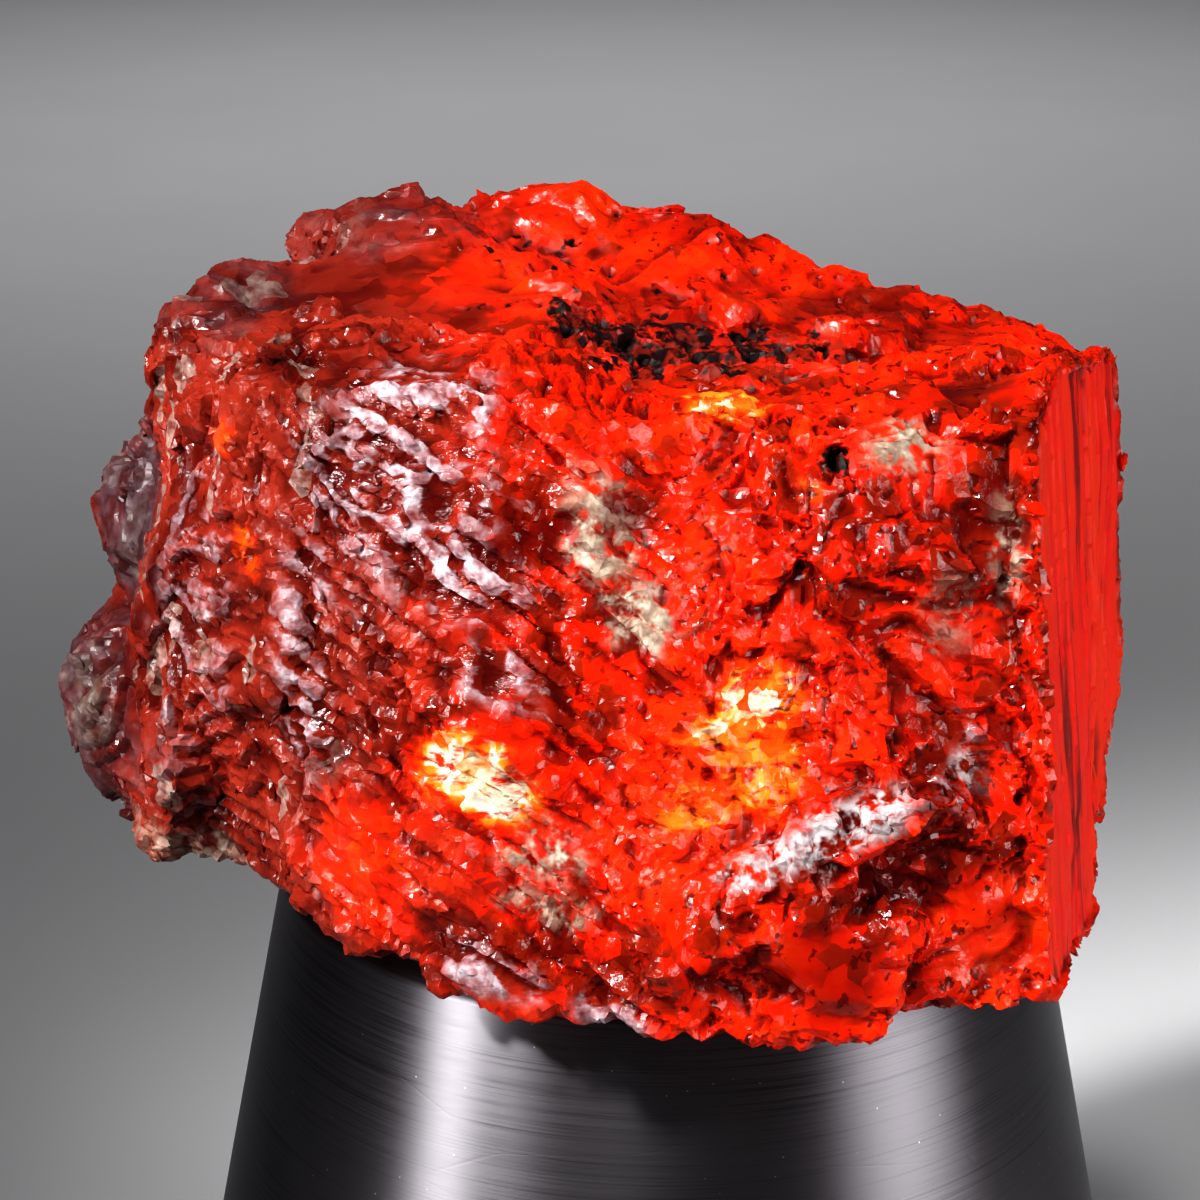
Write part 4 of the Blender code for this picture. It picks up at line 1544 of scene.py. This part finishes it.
@dataclass(frozen=True)
class SoftBox:
    """A soft box: its place, size and target in mm, its power in watts and its light's fan in degrees."""

    name: str
    place: Triple
    size: tuple[float, float]
    target: Triple
    power: float
    spread: float

    def build(self) -> None:
        """Add the lamp, facing its target."""
        lamp = bpy.data.lights.new(self.name, "AREA")
        lamp.shape = "RECTANGLE"
        lamp.size, lamp.size_y = (side * MM for side in self.size)
        lamp.energy = self.power
        lamp.spread = math.radians(self.spread)
        box = placed(self.name, lamp)
        box.location = Vector(self.place) * MM
        aim = Vector(self.target) * MM - box.location
        box.rotation_euler = aim.to_track_quat("-Z", "Y").to_euler()


@dataclass(frozen=True)
class Studio:
    """Pale floor, soft lights and the photograph's camera (sizes in mm, the floor's side in metres)."""

    floor_side: float = 1.6
    floor_drop: float = 0.02
    elevation: float = 19.0
    distance: float = 64.0
    aim: Triple = (-1.15, 0.0, STAND_TOP + 5.57)
    lens: float = 102.0
    sensor: float = 36.0
    world: Triple = (0.04, 0.04, 0.042)
    boxes: tuple[SoftBox, ...] = (
        SoftBox("left_strip", (-130.0, -78.0, 38.0), (46.0, 74.0), (0.0, 0.0, 16.0), 0.0048, 24.0),
        SoftBox("right_strip", (141.0, -57.0, 48.0), (180.0, 90.0), (0.0, 0.0, 22.0), 0.026, 46.0),
        SoftBox("key_box", (-95.0, -72.0, 140.0), (30.0, 30.0), (0.0, 0.0, 24.0), 0.0024, 10.0),
        SoftBox("top_box", (-20.0, -60.0, 150.0), (36.0, 36.0), (0.0, 0.0, 22.0), 0.0011, 14.0),
        SoftBox("floor_box", (0.0, 135.0, 210.0), (120.0, 80.0), (0.0, 150.0, 0.0), 0.024, 62.0),
    )

    def build(self) -> None:
        """Set up the colours, the floor, the lights, the world and the camera."""
        bpy.context.scene.view_settings.view_transform = "Standard"
        bpy.context.scene.view_settings.look = "High Contrast"
        self.lay_floor()
        for box in self.boxes:
            box.build()
        world = bpy.data.worlds.new("soft_world")
        world.use_nodes = True
        world.node_tree.nodes["Background"].inputs["Color"].default_value = (*self.world, 1.0)
        bpy.context.scene.world = world
        self.stand_camera()

    def lay_floor(self) -> None:
        """Lay the floor just under the stand."""
        bm = bmesh.new()
        bmesh.ops.create_grid(bm, x_segments=2, y_segments=2, size=self.floor_side / 2,
                              matrix=Matrix.Translation((0.0, 0.0, -self.floor_drop * MM)))
        mesh = bpy.data.meshes.new("floor")
        bm.to_mesh(mesh)
        bm.free()
        mesh.materials.append(PaleFloor().build())
        floor = placed("floor", mesh)

    def stand_camera(self) -> None:
        """Stand the camera where the photograph was taken from."""
        lens = bpy.data.cameras.new("photo_camera")
        lens.lens = self.lens
        lens.sensor_width = self.sensor
        lens.clip_start = 1.0 * MM
        camera = placed("photo_camera", lens)
        tilt = math.radians(self.elevation)
        back = Vector((0.0, -math.cos(tilt), math.sin(tilt))) * self.distance
        camera.location = (Vector(self.aim) + back) * MM
        camera.rotation_euler = (math.pi / 2 - tilt, 0.0, 0.0)
        bpy.context.scene.camera = camera


def main() -> None:
    """Dress the CAD frame: the stand, the stone, then the studio."""
    logging.basicConfig(level=logging.INFO)
    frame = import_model()
    stand = TurnedStand().build(BrushedMetal().build())
    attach(stand, "root")
    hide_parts("metal_stand")
    log.info("stand: %d faces", len(stand.data.polygons))
    stone = BrokenStone().build(frame["nodes"]["sphalerite_stone"], RubySphalerite().build())
    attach(stone, "root")
    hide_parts("sphalerite_stone")
    log.info("stone: %d faces", len(stone.data.polygons))
    Studio().build()


if __name__ == "__main__":
    main()
